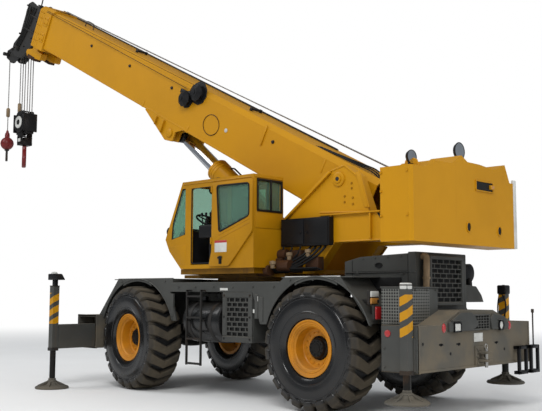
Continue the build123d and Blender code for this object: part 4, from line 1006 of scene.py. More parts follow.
class CRANE_OT_outriggers(CraneStep):
    """Jack legs on ribbed floats, post heads and box flanges."""

    bl_idname = "crane.outriggers"
    bl_label = "Outriggers"

    def build(self):
        for name, (x, y, low) in JACKS.items():
            float_shape = [(0, 0), (0, 256), (6, 262), (20, 262), (34, 250), (46, 205), (64, 110),
                (100, 78), (112, 78), (125, 68), (125, 0)]
            disc = turned(float_shape, "Z", 48)
            rib = plate([(50, 30), (236, 30), (225, 50), (78, 115), (50, 115)], -6, 6, "Y", 2)
            ribs = repeat(rib, [Matrix.Rotation(tau * turn / 8, 4, "Z") for turn in range(8)])
            leg = rod((0, 0, 40), (0, 0, 1238), 46, 32)
            nut = solid([(125, 60), (150, 60), (158, 52)], "Z", 6)
            place = Matrix.Translation((x, y, low))
            finished([disc, ribs, nut], f"float_{name}", "carrier paint", f"{name}_float", place,
                f"{name}_jack")
            finished(leg, f"jack_leg_{name}", "oily steel", f"{name}_float", place)
            body = f"{name}_outrigger"
            collar = picture_frame((x - 62, y - 62, 588), (x + 62, y + 62, 0), 14, 50, "Z")
            cap = joined(block(x - 58, y - 58, POST_TOP - 4, x + 58, y + 58, POST_TOP + 12, 4),
                rod((x, y, POST_TOP), (x, y, POST_TOP + 35), 20, 16))
            finished([collar, cap], f"post_fittings_{name}", "dark steel", body)
        x, y, _ = JACKS["front_left"]
        bracket = joined(block(x - 50, y - 30, POST_TOP + 10, x + 30, y + 30, POST_TOP + 110, 6),
            plate([(x - 200, POST_TOP + 100), (x + 100, POST_TOP + 100), (x + 100, POST_TOP + 200),
            (x - 100, POST_TOP + 200)], y - 70, y + 70, "Y", 12))
        finished(bracket, "post_lamp", "moulded black", "front_left_outrigger")
        lens = solid([(0, 50), (20, 47), (30, 30), (34, 0)], "Z", 24, (x + 20, y, POST_TOP + 200))
        finished(lens, "post_lamp_lens", "clear lens", "front_left_outrigger")
        x, y, _ = JACKS["rear_left"]
        head = block(x - 56, y - 56, POST_TOP - 50, x + 56, y + 56, POST_TOP + 30, 16, 3)
        finished(head, "post_marker", "clear lens", "rear_left_outrigger")
        x, y, _ = JACKS["rear_right"]
        head = joined(block(x - 70, y - 70, POST_TOP - 100, x + 70, y + 70, POST_TOP + 30, 20, 3),
            rod((x + 20, y - 20, 1200), (x + 20, y - 100, 1420), 28, 12), pipe([(x - 20, y + 70, 1500),
            (x - 100, y + 120, 1420), (x - 80, y + 100, 1250), (x - 20, y + 80, 1140)], 11, 8))
        finished(head, "post_head", "moulded black", "rear_right_outrigger")
        flanges = []
        for low, high in ((2700, 3220), (-3610, -3090)):
            for sign in SIDES.values():
                y = sign * BOX_SIDE - (30 if sign > 0 else 0)
                flanges.append(picture_frame((low - 6, 594, y), (high + 6, 1146, 0), 34, 30, "Y"))
        finished(flanges, "box_flanges", "dusty paint")
        for name, (x, y, _) in JACKS.items():
            side = copysign(1, y)
            hose = pipe([(x + 62, y - side * 30, 1140), (x + 70, y - side * 60, 1250),
                (x + 66, y - side * 40, 1450), (x + 50, y, 1570)], 10, 8)
            finished(hose, f"jack_hose_{name}", "black rubber", f"{name}_outrigger")


class CRANE_OT_engine_bay(CraneStep):
    """Hood seams and latches, radiator grille, exhaust, air cleaner, and the perforated box."""

    bl_idname = "crane.engine_bay"
    bl_label = "Engine bay"

    def build(self):
        seams = [block(x, 599, 1290, x + 6, 603, top, 0) for x, top in ((-2070, 1960), (-2965, 2020))]
        seams.append(block(-2960, 599, 1800, -2070, 603, 1806, 0))
        finished(both_sides(*seams), "hood_seams", "black rubber")
        trims = [block(-3085, 600, 1788, -1950, 622, 1798, 3), block(-3090, -602, 2032, -2965, 602, 2048,
            6), block(-3090, 599, 1450, -2972, 612, 2045, 5)]
        latch = plate([(-35, -18), (35, -18), (0, 28)], 600, 614, "Y", 3)
        trims += [spread(latch, [(-2154, 0, 1784), (-2869, 0, 1775)])]
        trims += [bolts([(x, 601, 1970 + (x + 2200) * -0.04) for x in (-2250, -2450, -2650, -2850)], 10)]
        finished(trims, "hood_trims", "carrier paint")
        pull = turned([(-2, 20), (10, 22), (12, 34), (-2, 36)], "Y", 32)
        stretched(pull, 1.7, 1, 1)
        well = solid([(-2, 21), (2, 21)], "Y", 32)
        stretched(well, 1.7, 1, 1)
        pull = spread(joined(pull, well), [(-2504, 601, 1884)])
        finished(pull, "hood_handle", "black rubber")
        back = -3190
        frame_bars = picture_frame((-375, 1362, back), (432, 2005, 0), 45, 100, "X", 8)
        finished(frame_bars, "grille_frame", "carrier paint", replaces="radiator_grille")
        finished(grid_bars((-332, 1406, back + 12), (388, 1962, 0), 5, 9, 13, 12, "X", True), "grille_bars",
            "carrier paint")
        finished(block(back + 60, -340, 1400, back + 70, 400, 1970, 2), "grille_core", "black rubber")
        exhaust = pipe([(-3060, 470, 1980), (-3120, 470, 2005), (-3165, 480, 1985), (-3168, 485, 1900),
            (-3165, 490, 1750), (-3165, 500, 1500), (-3165, 520, 1200)], 42, 20)
        clamp = turned([(0, 42), (0, 50), (30, 50), (30, 42)], "Z", 24)
        finished([exhaust, spread(clamp, [(-3166, 492, 1700), (-3165, 512, 1300)])], "exhaust",
            "exhaust tan", replaces="hood_fittings")
        cleaner = solid([(-2920, 95), (-2905, 128), (-2600, 130), (-2585, 136), (-2560, 136), (-2545, 130),
            (-2320, 128), (-2300, 100)], "X", 40, (0, -1020, 1810))
        hose = pipe([(-2900, -990, 1720), (-2930, -970, 1620), (-2930, -900, 1540), (-2880, -780, 1500),
            (-2800, -620, 1480)], 45, 16)
        stay = block(-2700, -1020, 1640, -2640, -600, 1700, 6)
        riser = plate([(-620, 1400), (-1200, 1400), (-1140, 1500), (-1000, 1620), (-720, 1640)], -3020,
            -2600, "X", 10)
        finished(riser, "fender_riser", "carrier paint")
        finished([cleaner, hose, stay], "air_cleaner", "moulded black")
        guard = joined(block(-3298, 622, 1142, -2982, 1218, 1585, 12), block(-3298, 442, 1142, -3242, 640,
            1585, 10))
        lid = joined(block(-3310, 436, 1584, -2975, 1228, 1600, 5), bolts([(-3304, y, 1560)
            for y in (500, 700, 950, 1180)], 10, (-1, 0, 0)))

        def sheet(middle, normal):
            return middle.y > 660 and abs(normal.z) < 0.3

        finished(guard, "perforated_box", "carrier paint", "carrier", None, "rear_guard",
            ("perforated", sheet))
        finished(lid, "perforated_box_lid", "carrier paint")
        stalks = joined(block(-2820, 1030, 1400, -2560, 1070, 1440, 4), block(-2880, 1030, 1240, -2680,
            1070, 1280, 4))
        cases = joined(block(-2800, 1010, 1375, -2760, 1210, 1555, 12, 3), block(-2880, 1000, 1190, -2840,
            1220, 1365, 12, 3))
        finished([stalks, cases], "fender_lamps", "dark steel")
        finished(block(-2818, 1030, 1470, -2790, 1190, 1545, 10, 3), "fender_lamp_white", "clear lens")
        finished(block(-2818, 1030, 1385, -2790, 1190, 1460, 10, 3), "fender_lamp_amber", "amber lens")
        finished(block(-2898, 1020, 1200, -2870, 1200, 1355, 12, 3), "fender_lamp_red", "red lens")


class CRANE_OT_left_side(CraneStep):
    """Fuel tank with its straps, cooler box with its grille, ladder and the rear steps."""

    bl_idname = "crane.left_side"
    bl_label = "Left side"

    def build(self):
        tank = solid([(-150, 170), (-143, 240), (-120, 288), (-95, 302), (-60, 305), (610, 305), (645, 302),
            (670, 288), (693, 240), (700, 170)], "X", 64, TANK_AT)
        neck = solid([(0, 55), (50, 55), (50, 62), (85, 62), (92, 50)], "Z", 24, (580, 860, 1375))
        finished([tank, neck], "tank_body", "tank black", replaces="fuel_tank")
        strap = turned([(-30, 304), (-30, 310), (30, 310), (30, 304)], "X", 64, TANK_AT)
        straps = spread(strap, [(50, 0, 0), (500, 0, 0)])
        feet = joined(*[block(x - 30, 420, 800, x + 30, 950, 880, 6) for x in (50, 500)])
        finished([straps, feet], "tank_straps", "dark steel")
        box = block(-778, 882, 822, -182, 1185, 1528, 12, 3)
        front = picture_frame((-780, 820, 1185), (-180, 1530, 0), 82, 34, "Y", 8)
        arm = block(-600, 420, 1020, -400, 900, 1280, 10)
        finished([box, front, arm], "cooler_box", "carrier paint", replaces="side_grille_box")
        bars = grid_bars((-700, 900, 1192), (-260, 1450, 0), 4, 8, 20, 18, "Y", staggered=True)
        finished(bars, "cooler_grille", "carrier paint")
        finished(block(-700, 1182, 900, -260, 1188, 1450, 1), "cooler_core", "black rubber")
        heads = bolts([(x, 1219, z) for x in (-740, -220) for z in (870, 1175, 1480)], 12)
        finished(heads, "cooler_bolts", "dark steel")
        rails = joined(*[block(x, 1281, 460, x + 20, 1319, 1560, 5) for x in (170, 480)],
            *[block(x, 1220, 1535, x + 20, 1319, 1560, 4) for x in (170, 480)], *[block(x, 1220, 1100,
            x + 20, 1319, 1120, 4) for x in (170, 480)])
        tread = joined(block(175, 1281, 0, 485, 1319, 24, 4), spread(block(200, 1278, 22, 212, 1322, 30, 2,
            1), [(30 * step, 0, 0) for step in range(9)]))
        treads = spread(tread, [(0, 0, z) for z in (470, 830, 1140, 1450)])
        finished([rails, treads], "ladder", "dark steel", replaces="steps")
        rear = REAR_FACE - 90
        uprights = [block(rear, y, 450, rear + 40, y + 45, 824, 6) for y in (-1480, -1285, -1140, -945)]
        uprights += [block(rear, y, 800, rear + 90, y + 20, 822, 4) for y in (-1260, -1140, -920)]
        rungs = [block(rear, y0, z, rear + 88, y1, z + 44, 6) for y0, y1 in ((-1480, -1240), (-1140, -900))
            for z in (450, 780)]
        finished([*uprights, *rungs], "rear_steps", "moulded black")
        mark = joined(rod((rear + 50, -1400, 820), (rear + 50, -1400, 1280), 10, 12),
            solid([(0, 20), (50, 20)], "Z", 12, (rear + 50, -1400, 1260)))
        finished(mark, "marker_rod", "dark steel")


class CRANE_OT_running_gear(CraneStep):
    """Axle housings with their covers, drive shaft, and the frame's flanges and tank straps."""

    bl_idname = "crane.running_gear"
    bl_label = "Running gear"

    def build(self):
        for end, x in AXLE_X.items():
            bulge = solid([(-360, 116), (-300, 135), (-200, 172), (-80, 185), (80, 185), (200, 172),
                (300, 135), (360, 116)], "Y", 40, (x, 0, AXLE_Z))
            arms = both_sides(solid([(340, 115), (600, 113), (800, 106), (818, 100)], "Y", 32,
                (x, 0, AXLE_Z)))
            cover = solid([(-20, 130), (20, 130), (50, 90), (55, 0)], "X", 32, (x + 160, 0, AXLE_Z))
            ring = bolts(ring_of(10, 113, (x + 180, 0, AXLE_Z), "X"), 10, (1, 0, 0))
            pads = both_sides(block(x - 110, 230, AXLE_Z, x + 110, 400, 998, 10))
            yokes = []
            for up in (1, -1):
                z0, z1 = sorted((AXLE_Z + up * 100.4, AXLE_Z + up * 145.4))
                yokes.append(block(x - 80, 850, z0, x + 80, 930, z1, 8))
                yokes.append(turned([(z0, 36), (z0, 80), (z1, 80), (z1, 36)], "Z", 32, (x, KINGPIN_Y, 0)))
            yokes.append(block(x - 80, 800, AXLE_Z - 145, x + 80, 850, AXLE_Z + 145, 10))
            finished([bulge, arms, cover, ring, pads, both_sides(*yokes)], f"axle_{end}", "oily steel",
                replaces=f"{end}_axle")
        shaft = rod((1550, 0, 800), (-1620, 0, 800), 45, 20)
        joints = spread(solid([(-50, 75), (50, 75)], "X", 20), [(1400, 0, 800), (-1500, 0, 800)])
        finished([shaft, joints], "drive_shaft", "oily steel")
        strips = [block(x0, 400, z, x1, 445, z + 20, 4) for x0, x1, z in ((-1200, 1050, 775),
            (-3080, -2550, 645), (2350, 2690, 645))]
        finished(both_sides(*strips), "frame_flanges", "carrier paint")
        side = [block(-690, -1196, z, 690, -1188, z + 30, 3) for z in (840, 1330)]
        side += [block(x, -1198, 810, x + 40, -1188, 1390, 3) for x in (-550, 0, 500)]
        finished(side, "right_tank_straps", "dark steel")
        front = [block(2300, y, 1140, 2700, y + 30, 1170, 5) for y in (-1190, 1160)]
        finished(front, "front_bumper_edges", "carrier paint")
        lamp_ring = solid([(0, 75), (40, 80), (45, 62), (20, 50)], "X", 28)
        finished(spread(lamp_ring, [(3220, 950, 980), (3220, -950, 980)]), "front_lamps", "moulded black")
        lens = solid([(20, 60), (35, 55), (45, 0)], "X", 28)
        finished(spread(lens, [(3220, 950, 980), (3220, -950, 980)]), "front_lenses", "clear lens")


# ---------------------------------------------------------------- superstructure
CW_REAR = -3500


def bead(points, radius=7):
    """A raised weld or folded edge along a line."""
    return joined(*[rod(a, b, radius, 8) for a, b in zip(points, points[1:])])


class CRANE_OT_counterweight(CraneStep):
    """Fittings of the counterweight: slot, lifting eyes, lamp and mirrors."""

    bl_idname = "crane.counterweight"
    bl_label = "Counterweight"

    def build(self):
        rear = CW_REAR
        eyes = stretched(solid([(-6, 44), (4, 46)], "X", 28), 1, 1.0, 1.25)
        slot = block(rear - 8, -620, 2880, rear + 10, -200, 2990, 4)
        eyes = joined(spread(eyes, [(rear, 9, 2372), (rear, -797, 2362)]), slot)
        finished(eyes, "counterweight_openings", "black rubber", "superstructure")
        rim = joined(picture_frame((-640, 2862, rear - 16), (-180, 3008, 0), 16, 20, "X"),
            block(rear - 40, -625, 2905, rear - 6, -530, 2965, 8))
        ring = turned([(-12, 45), (-12, 55), (2, 57), (2, 45)], "X", 28)
        stretched(ring, 1, 1.0, 1.25)
        finished([rim, spread(ring, [(rear, 9, 2372), (rear, -797, 2362)])], "counterweight_rims",
            "upper paint", "superstructure")
        finished(block(rear - 46, -612, 2915, rear - 38, -545, 2955, 6), "counterweight_lamp", "amber lens",
            "superstructure")
        strip = block(rear - 4, -1300, 2140, rear + 30, -1215, 3100, 4)
        finished(strip, "edge_strip", "white plate", "superstructure")
        stays, frames, panes = [], [], []
        for y0, y1, z0, z1 in ((900, 1100, 3100, 3280), (-250, 0, 3280, 3520)):
            middle = (-3300, (y0 + y1) / 2, (z0 + z1) / 2)
            across, high = ((y1 - y0) / 2000, (z1 - z0) / 2000)
            for shapes, profile in ((frames, [(-12, 900), (-18, 940), (-18, 990), (-8, 1000), (30, 800),
                    (42, 0), (-12, 0)]), (panes, [(-12.5, 0), (-12.5, 900), (-13.5, 900), (-15.5, 0)])):
                disc = turned(profile, "X", 32)
                stretched(disc, 1, across, high)
                disc.data.transform(Matrix.Translation(middle))
                shapes.append(disc)
            stays.append(pipe([(-3300, y1 - 50, z0 - 130), (-3300, y1 - 30, z0 - 40),
                (-3300, y1 - 60, z0 + 50)], 12, 8))
        finished([*stays, *frames], "rear_mirrors", "moulded black", "superstructure")
        finished(panes, "rear_mirror_panes", "mirror", "superstructure")
        lugs = [plate([(-3400, 3050), (-3160, 3050), (-3200, 3160), (-3280, 3200), (-3360, 3160)], y,
            y + 30) for y in (950, -980)]
        heads = bolts([(-3060, 1301, z) for z in (2450, 2750, 2980)] + [(-3440, 1301, z)
            for z in (2450, 2980)], 14)
        finished([*lugs, heads], "counterweight_lugs", "upper paint", "superstructure")


class CRANE_OT_mast(CraneStep):
    """Flanges, bosses, pins, rivets and ribs of the superstructure's side plates."""

    bl_idname = "crane.mast"
    bl_label = "Mast"

    def build(self):
        side = 620
        lines = [[(-1520, side, 2638), (-2575, side, 2590)], [(-2209, side, 3172), (-2372, side, 2653)],
            [(-1800, side, 2220), (-3030, side, 2220)], [(-1420, side, 1810), (-1770, side, 2200)],
            [(-2600, side, 2600), (-3030, side, 2630)]]
        edges = joined(*[bead(line, 12) for line in lines])
        flange = plate([(-800, 2535), (-1715, 3205), (-1735, 3175), (-830, 2515)], side, side + 50, "Y", 5)
        crest = bead([(-1720, side, 3205), (-1955, side, 3262), (-2165, side, 3105), (-2210, side, 3000)],
            13)
        shelf = block(-2575, side, 2585, -1530, side + 45, 2605, 4)
        gusset = plate([(-2360, 2660), (-2300, 2660), (-2160, 3140), (-2210, 3170)], side, side + 14)
        ribs = [plate([(x, 2240), (x + 20, 2240), (x + 20, 2580), (x, 2580)], side, side + 50)
            for x in (-1750, -2420)]
        boss = solid([(side, 105), (side + 20, 100), (side + 24, 94), (side + 24, 60), (side + 40, 55),
            (side + 42, 0)], "Y", 40, (PIVOT.x, 0, PIVOT.z))
        parts = both_sides(edges, flange, crest, shelf, gusset, boss, *ribs)
        finished(parts, "mast_ribs", "upper paint", "superstructure")
        pin = solid([(side + 40, 30), (side + 46, 28)], "Y", 24, (PIVOT.x, 0, PIVOT.z))
        rivets = bolts([(x, side, z) for x, z in ((-2080, 3006), (-2080, 2938), (-1959, 2834),
            (-1958, 2755), (-2100, 2807), (-2100, 2721), (-2700, 2750), (-2900, 2760))], 13)
        finished(both_sides(pin), "mast_pins", "head paint", "superstructure")
        finished(both_sides(rivets), "mast_rivets", "cab paint", "superstructure")
        slot = plate([(-2500, 2575), (-2530, 2585), (-2600, 2480), (-2575, 2465)], side - 4, side + 4, "Y",
            2)
        finished(both_sides(slot), "mast_slots", "black rubber", "superstructure")


class CRANE_OT_winches(CraneStep):
    """Winch drums wound with rope, their flanges, motors and stands."""

    bl_idname = "crane.winches"
    bl_label = "Winches"

    def build(self):
        shells, ropes = [], []
        for z, radius in ((2480, 190), (2960, 150)):
            profile = [(-300, 0), (-300, radius), (-275, radius), (-270, radius - 50), (270, radius - 50),
                (275, radius), (300, radius), (300, 0)]
            shells.append(turned(profile, "Y", 40, (-2700, 0, z)))
            shells.append(solid([(300, 100), (360, 95), (370, 0)], "Y", 28, (-2700, 0, z)))
            wound = []
            turns = 24
            for turn in range(turns):
                y = -266 + 532 * turn / turns
                wound += [(y, radius - 34), (y + 11, radius - 24)]
            ropes.append(turned([(-267, radius - 60), *wound, (267, radius - 60)], "Y", 40, (-2700, 0, z),
                20))
        stands = both_sides(block(-2920, 305, 2270, -2480, 335, 2620, 10), block(-2860, 305, 2620, -2540,
            335, 3020, 10))
        finished([*shells, stands], "winch_drums", "oily steel", "superstructure", replaces="winches")
        finished(ropes, "winch_ropes", "wire rope", "superstructure")


class CRANE_OT_valves(CraneStep):
    """Valve cabinet beside the mast, and pipes, hoses and manifolds under the cab."""

    bl_idname = "crane.valves"
    bl_label = "Valves and pipes"

    def build(self):
        body = block(-1768, 622, 2172, -872, 728, 2568, 12, 3)
        doors = [block(x, 726, 2200, x + 420, 740, 2545, 8) for x in (-1750, -1310)]
        knobs = bolts([(x, 736, 2360) for x in (-1380, -1260)], 16)
        vents = spread(block(-1680, 728, 2230, -1420, 739, 2242, 2, 1), [(0, 0, 30 * n) for n in range(4)])
        finished([body, *doors, knobs, vents], "valve_box", "moulded black", "superstructure",
            replaces="valve_cabinet")
        blocks = [block(-1200 + 260 * n, 560, 1800, -1030 + 260 * n, 800, 1960 + 50 * (n % 2), 12)
            for n in range(5)]
        blocks += [block(-700, 860, 1795, -460, 1050, 1860, 10), block(50, 860, 1795, 400, 1100, 1850, 10)]
        blocks += [block(-1600, 630, 1830, -1360, 760, 2020, 14), block(-1260, 630, 1980, -1060, 740, 2120,
            12)]
        blocks += [solid([(0, 75), (20, 80), (220, 80), (240, 50)], "X", 24, (x, y, z)) for x, y,
            z in ((-1180, 860, 1900), (-980, 700, 2060), (-880, 950, 1830))]
        fittings = bolts([(-1150 + 130 * n, 800, 1870) for n in range(9)], 22)
        finished([*blocks, fittings], "manifolds", "rust primer", "superstructure")
        spools = [solid([(0, 30), (50, 34), (60, 46), (100, 46), (110, 0)], "Z", 16, (x, y, z)) for x, y,
            z in ((-950, 980, 1860), (-1140, 840, 1980), (-720, 1020, 1820), (-1400, 740, 2020))]
        finished(spools, "tan_fittings", "exhaust tan", "superstructure")
        lines = [pipe([(-1660 + 90 * n, 660, 2170), (-1620 + 90 * n, 740, 2060),
            (-1500 + 100 * n, 800, 1980), (-1360 + 100 * n, 830, 1900), (-1200 + 100 * n, 860, 1860)], 16,
            8) for n in range(4)]
        for n in range(6):
            x = -1250 + 160 * n
            lines.append(pipe([(x, 720, 2180), (x + 20, 735, 2080), (x + 80, 770, 2020 - 12 * n),
                (x + 100, 800, 1930), (x + 90, 780, 1880)], 13, 8))
        for n in range(4):
            lines.append(pipe([(-1620, 700 + 35 * n, 1835 + 10 * n), (-1200, 840 + 20 * n, 1815 + 12 * n),
                (-500, 830 + 30 * n, 1812 + 13 * n), (450, 800 + 30 * n, 1812 + 10 * n)], 11, 8))
        finished(lines, "under_hoses", "black rubber", "superstructure")
        ring = bolts([point for point in ring_of(36, 745, (0, 0, 1790), "Z") if abs(point.y) > 260], 16,
            (0, 0, 1))
        finished(ring, "slew_bolts", "dark steel", "superstructure")


# ---------------------------------------------------------------- cab
CAB_SIDE = 1255
DOOR_FACE = 1289.4
DOOR_OUTLINE = ((-840, 2380), (-840, 3120), (-10, 3120), (-10, 2120), (50, 1900), (-370, 1900))
DOOR_WINDOW = ((-780, 2600), (-780, 3060), (-120, 3070), (-170, 2390))
SIDE_LIGHT = ((610, 3090), (690, 3090), (905, 2570), (930, 2320), (610, 2390))


def swollen(outline, by):
    """An outline whose points lie further from its middle."""
    middle = sum((Vector(point) for point in outline), Vector((0, 0))) / len(outline)
    return [tuple(Vector(point) + (Vector(point) - middle).normalized() * by) for point in outline]


def rounded(outline, by, steps=5):
    """An outline whose corners are rounded."""
    points = []
    for index, corner in enumerate(outline):
        corner = Vector(corner)
        before, after = (Vector(outline[index - 1]), Vector(outline[(index + 1) % len(outline)]))
        start = corner + (before - corner).normalized() * by
        end = corner + (after - corner).normalized() * by
        for step in range(steps + 1):
            t = step / steps
            points.append(tuple(start * (1 - t) ** 2 + corner * 2 * t * (1 - t) + end * t ** 2))
    return points


def seal(outline, face, radius=11, axis="Y", rounding=50):
    """Rubber round a pane."""
    return pipe([placed(axis, u, v, face) for u, v in rounded(outline, rounding)], radius, 8, closed=True,
        bends=2)


class CRANE_OT_cab_door(CraneStep):
    """Door panel with its pane, seal, handle, hinges, stiffening folds and blank sign."""

    bl_idname = "crane.cab_door"
    bl_label = "Cab door"

    def build(self):
        panel = plate(rounded(DOOR_OUTLINE, 35, 4), 1256, DOOR_FACE, "Y", 4)
        hole = plate(rounded(DOOR_WINDOW, 45, 4), 1200, 1340, "Y", 0)
        panel = cut(panel, hole)
        folds = [bead([(-800, DOOR_FACE, 2560), (-160, DOOR_FACE, 2345)], 6), bead([(-800, DOOR_FACE, 2500),
            (-150, DOOR_FACE, 2285)], 6)]
        finished([panel, *folds], "door_panel", "cab paint", "door", replaces="cab_door")
        finished(plate(rounded(swollen(DOOR_WINDOW, 12), 45, 4), 1262, 1268, "Y", 0), "door_pane",
            "tinted glass", "door")
        rubber = [seal(DOOR_WINDOW, DOOR_FACE - 2, 13), seal(swollen(DOOR_OUTLINE, -12), 1268, 6,
            rounding=40)]
        finished(rubber, "door_seals", "black rubber", "door")
        grip = joined(block(-235, DOOR_FACE - 2, 1930, -175, DOOR_FACE + 10, 2045, 8, 3),
            block(-250, DOOR_FACE + 8, 2005, -160, DOOR_FACE + 20, 2035, 6), solid([(8, 16), (16, 16),
            (18, 0)], "Y", 20, (-205, DOOR_FACE, 1955)))
        finished(grip, "door_handle", "moulded black", "door")
        hinges = [block(-22, DOOR_FACE - 4, z, 4, DOOR_FACE + 12, z + 100, 5) for z in (2980, 2220)]
        finished(hinges, "door_hinges", "cab paint", "door")
        sign = block(-335, DOOR_FACE, 2100, -85, DOOR_FACE + 2, 2235, 1)
        finished(sign, "blank_sign", "white plate", "door")
        finished(block(-335, DOOR_FACE, 2235, -85, DOOR_FACE + 2, 2270, 1), "blank_sign_head", "red lens",
            "door")


class CRANE_OT_cab_outside(CraneStep):
    """Window seals, wipers, roof folds, mirrors and the bar across the rear window."""

    bl_idname = "crane.cab_outside"
    bl_label = "Cab outside"

    def build(self):
        rubber = [seal(SIDE_LIGHT, CAB_SIDE - 15, 12)]
        rear_pane = [(690, 2680), (1180, 2680), (1180, 3110), (690, 3110)]
        rubber.append(seal(rear_pane, -842, 12, "X"))
        doorway = [(-310, 1950), (480, 1950), (480, 3080), (-310, 3080)]
        rubber.append(seal(doorway, CAB_SIDE - 12, 9))
        finished(rubber, "cab_seals", "black rubber", "superstructure")
        bars = [block(-866, 905, 2680, -846, 930, 3120, 5), picture_frame((670, 2660, -860),
            (1200, 3130, 0), 28, 14, "X")]
        finished(bars, "rear_window_bars", "moulded black", "superstructure")
        folds = [bead([(-800, CAB_SIDE, 3150), (660, CAB_SIDE, 3150)], 10), bead([(-840, 660, 3150),
            (-840, 1240, 3150)], 10)]
        panels = [block(-848, 660, 2430, -838, 1220, 2680, 2), plate([(580, 1930), (720, 1930), (950, 2160),
            (950, 2220), (580, 2240)], CAB_SIDE - 2, CAB_SIDE + 2)]
        finished([*folds, *panels], "cab_folds", "cab paint", "superstructure")
        wiper = [pipe([(985, 1020, 2360), (960, 950, 2550), (900, 860, 2720)], 8, 8),
            pipe([(965, 800, 2450), (905, 860, 2720), (835, 920, 2980)], 9, 8)]
        stays = [pipe([(980, 1180, 2280), (1050, 1200, 2320), (1070, 1180, 2400)], 10, 8),
            solid([(-12, 70), (10, 78), (30, 50), (36, 0)], "X", 28, (1070, 1150, 2454))]
        horn = solid([(0, 45), (20, 50), (70, 50), (80, 40)], "Z", 24, (300, 850, 3190))
        finished([*wiper, *stays, horn], "cab_fittings", "moulded black", "superstructure")
        pane = solid([(-16, 60), (-12, 62)], "X", 28, (1070, 1150, 2454))
        finished(pane, "cab_mirror", "mirror", "superstructure")
        lamp = solid([(-90, 50), (-50, 62), (0, 62)], "X", 24)
        finished(spread(lamp, [(720, y, 3130) for y in (620, 1100)]), "work_lamps", "moulded black",
            "superstructure")


class CRANE_OT_cab_inside(CraneStep):
    """Padded seat with its base, side consoles with levers, steering wheel and dashboard."""

    bl_idname = "crane.cab_inside"
    bl_label = "Cab inside"

    def build(self):
        middle = 900
        cushion = block(-220, middle - 240, 2300, 240, middle + 240, 2420, 45, 4)
        back = block(-360, middle - 230, 2400, -240, middle + 230, 2920, 45, 4)
        rest = block(-350, middle - 130, 2930, -260, middle + 130, 3060, 35, 4)
        seat = finished([cushion, back, rest], "seat", "seat cloth", "superstructure",
            replaces="cab_interior")
        base = joined(block(-160, middle - 180, 1930, 160, middle + 180, 2200, 20),
            spread(block(-150, middle - 170, 2200, 150, middle + 170, 2213, 6, 1),
            [(0, 0, 22 * n) for n in range(5)]))
        consoles = [block(-200, y, 2320, 340, y + 100, 2520, 30, 3) for y in (middle - 400, middle + 235)]
        feet = [block(-50, y + 20, 1930, 120, y + 80, 2340, 10) for y in (middle - 400, middle + 235)]
        dash = plate([(520, 1950), (800, 2050), (900, 2300), (840, 2440), (720, 2500), (620, 2440),
            (560, 2200)], 560, 1160, "Y", 20)
        levers = []
        for y in (middle - 350, middle + 285):
            for x in (100, 200, 290):
                levers.append(rod((x, y, 2510), (x + 20, y, 2660), 8, 10))
                levers.append(solid([(-30, 0), (-20, 16), (20, 20), (30, 0)], "Z", 14, (x + 22, y, 2680)))
        column = rod((680, middle, 2300), (500, middle, 2600), 32, 16)
        finished([base, *consoles, *feet, dash, *levers, column], "cab_fitting_out", "moulded black",
            "superstructure")
        lean = Matrix.Translation((490, middle, 2615)) @ Matrix.Rotation(radians(-31), 4, "Y")
        hoop = pipe(ring_of(16, 190, (0, 0, 0), "Z"), 15, 12, closed=True)
        spokes = [rod((20 * cos(a), 20 * sin(a), 0), (180 * cos(a), 180 * sin(a), 0), 10, 8)
            for a in (radians(d) for d in (30, 150, 270))]
        hub = solid([(-30, 40), (15, 45), (22, 30)], "Z", 24)
        finished([hoop, *spokes, hub], "steering_wheel", "moulded black", "superstructure", lean)
        screen = block(600, middle - 320, 2500, 660, middle - 100, 2700, 12, 3)
        finished(screen, "load_display", "moulded black", "superstructure")


# ---------------------------------------------------------------- boom, drawn level about its pivot
BOOM_SIDE = 360
HEAD_SIDE = 236
BOOM_TOP, BOOM_BOTTOM = 195, -590
MAIN_SHEAVE, IDLER_SHEAVE, AUX_SHEAVE = (10020, -900), (9910, -60), (10540, -1180)
SHEAVE_GROOVE = 150
FALL_PITCH = 60
FALL_OUT = 160.5
HEAD_EDGE = (  # outline of the head's side plates
    (9460, 75), (9970, 165), (10085, 95), (10085, -620), (10245, -850), (10245, -1020), (10070, -1090),
    (9780, -1050), (9470, -670), (9440, -600),
)


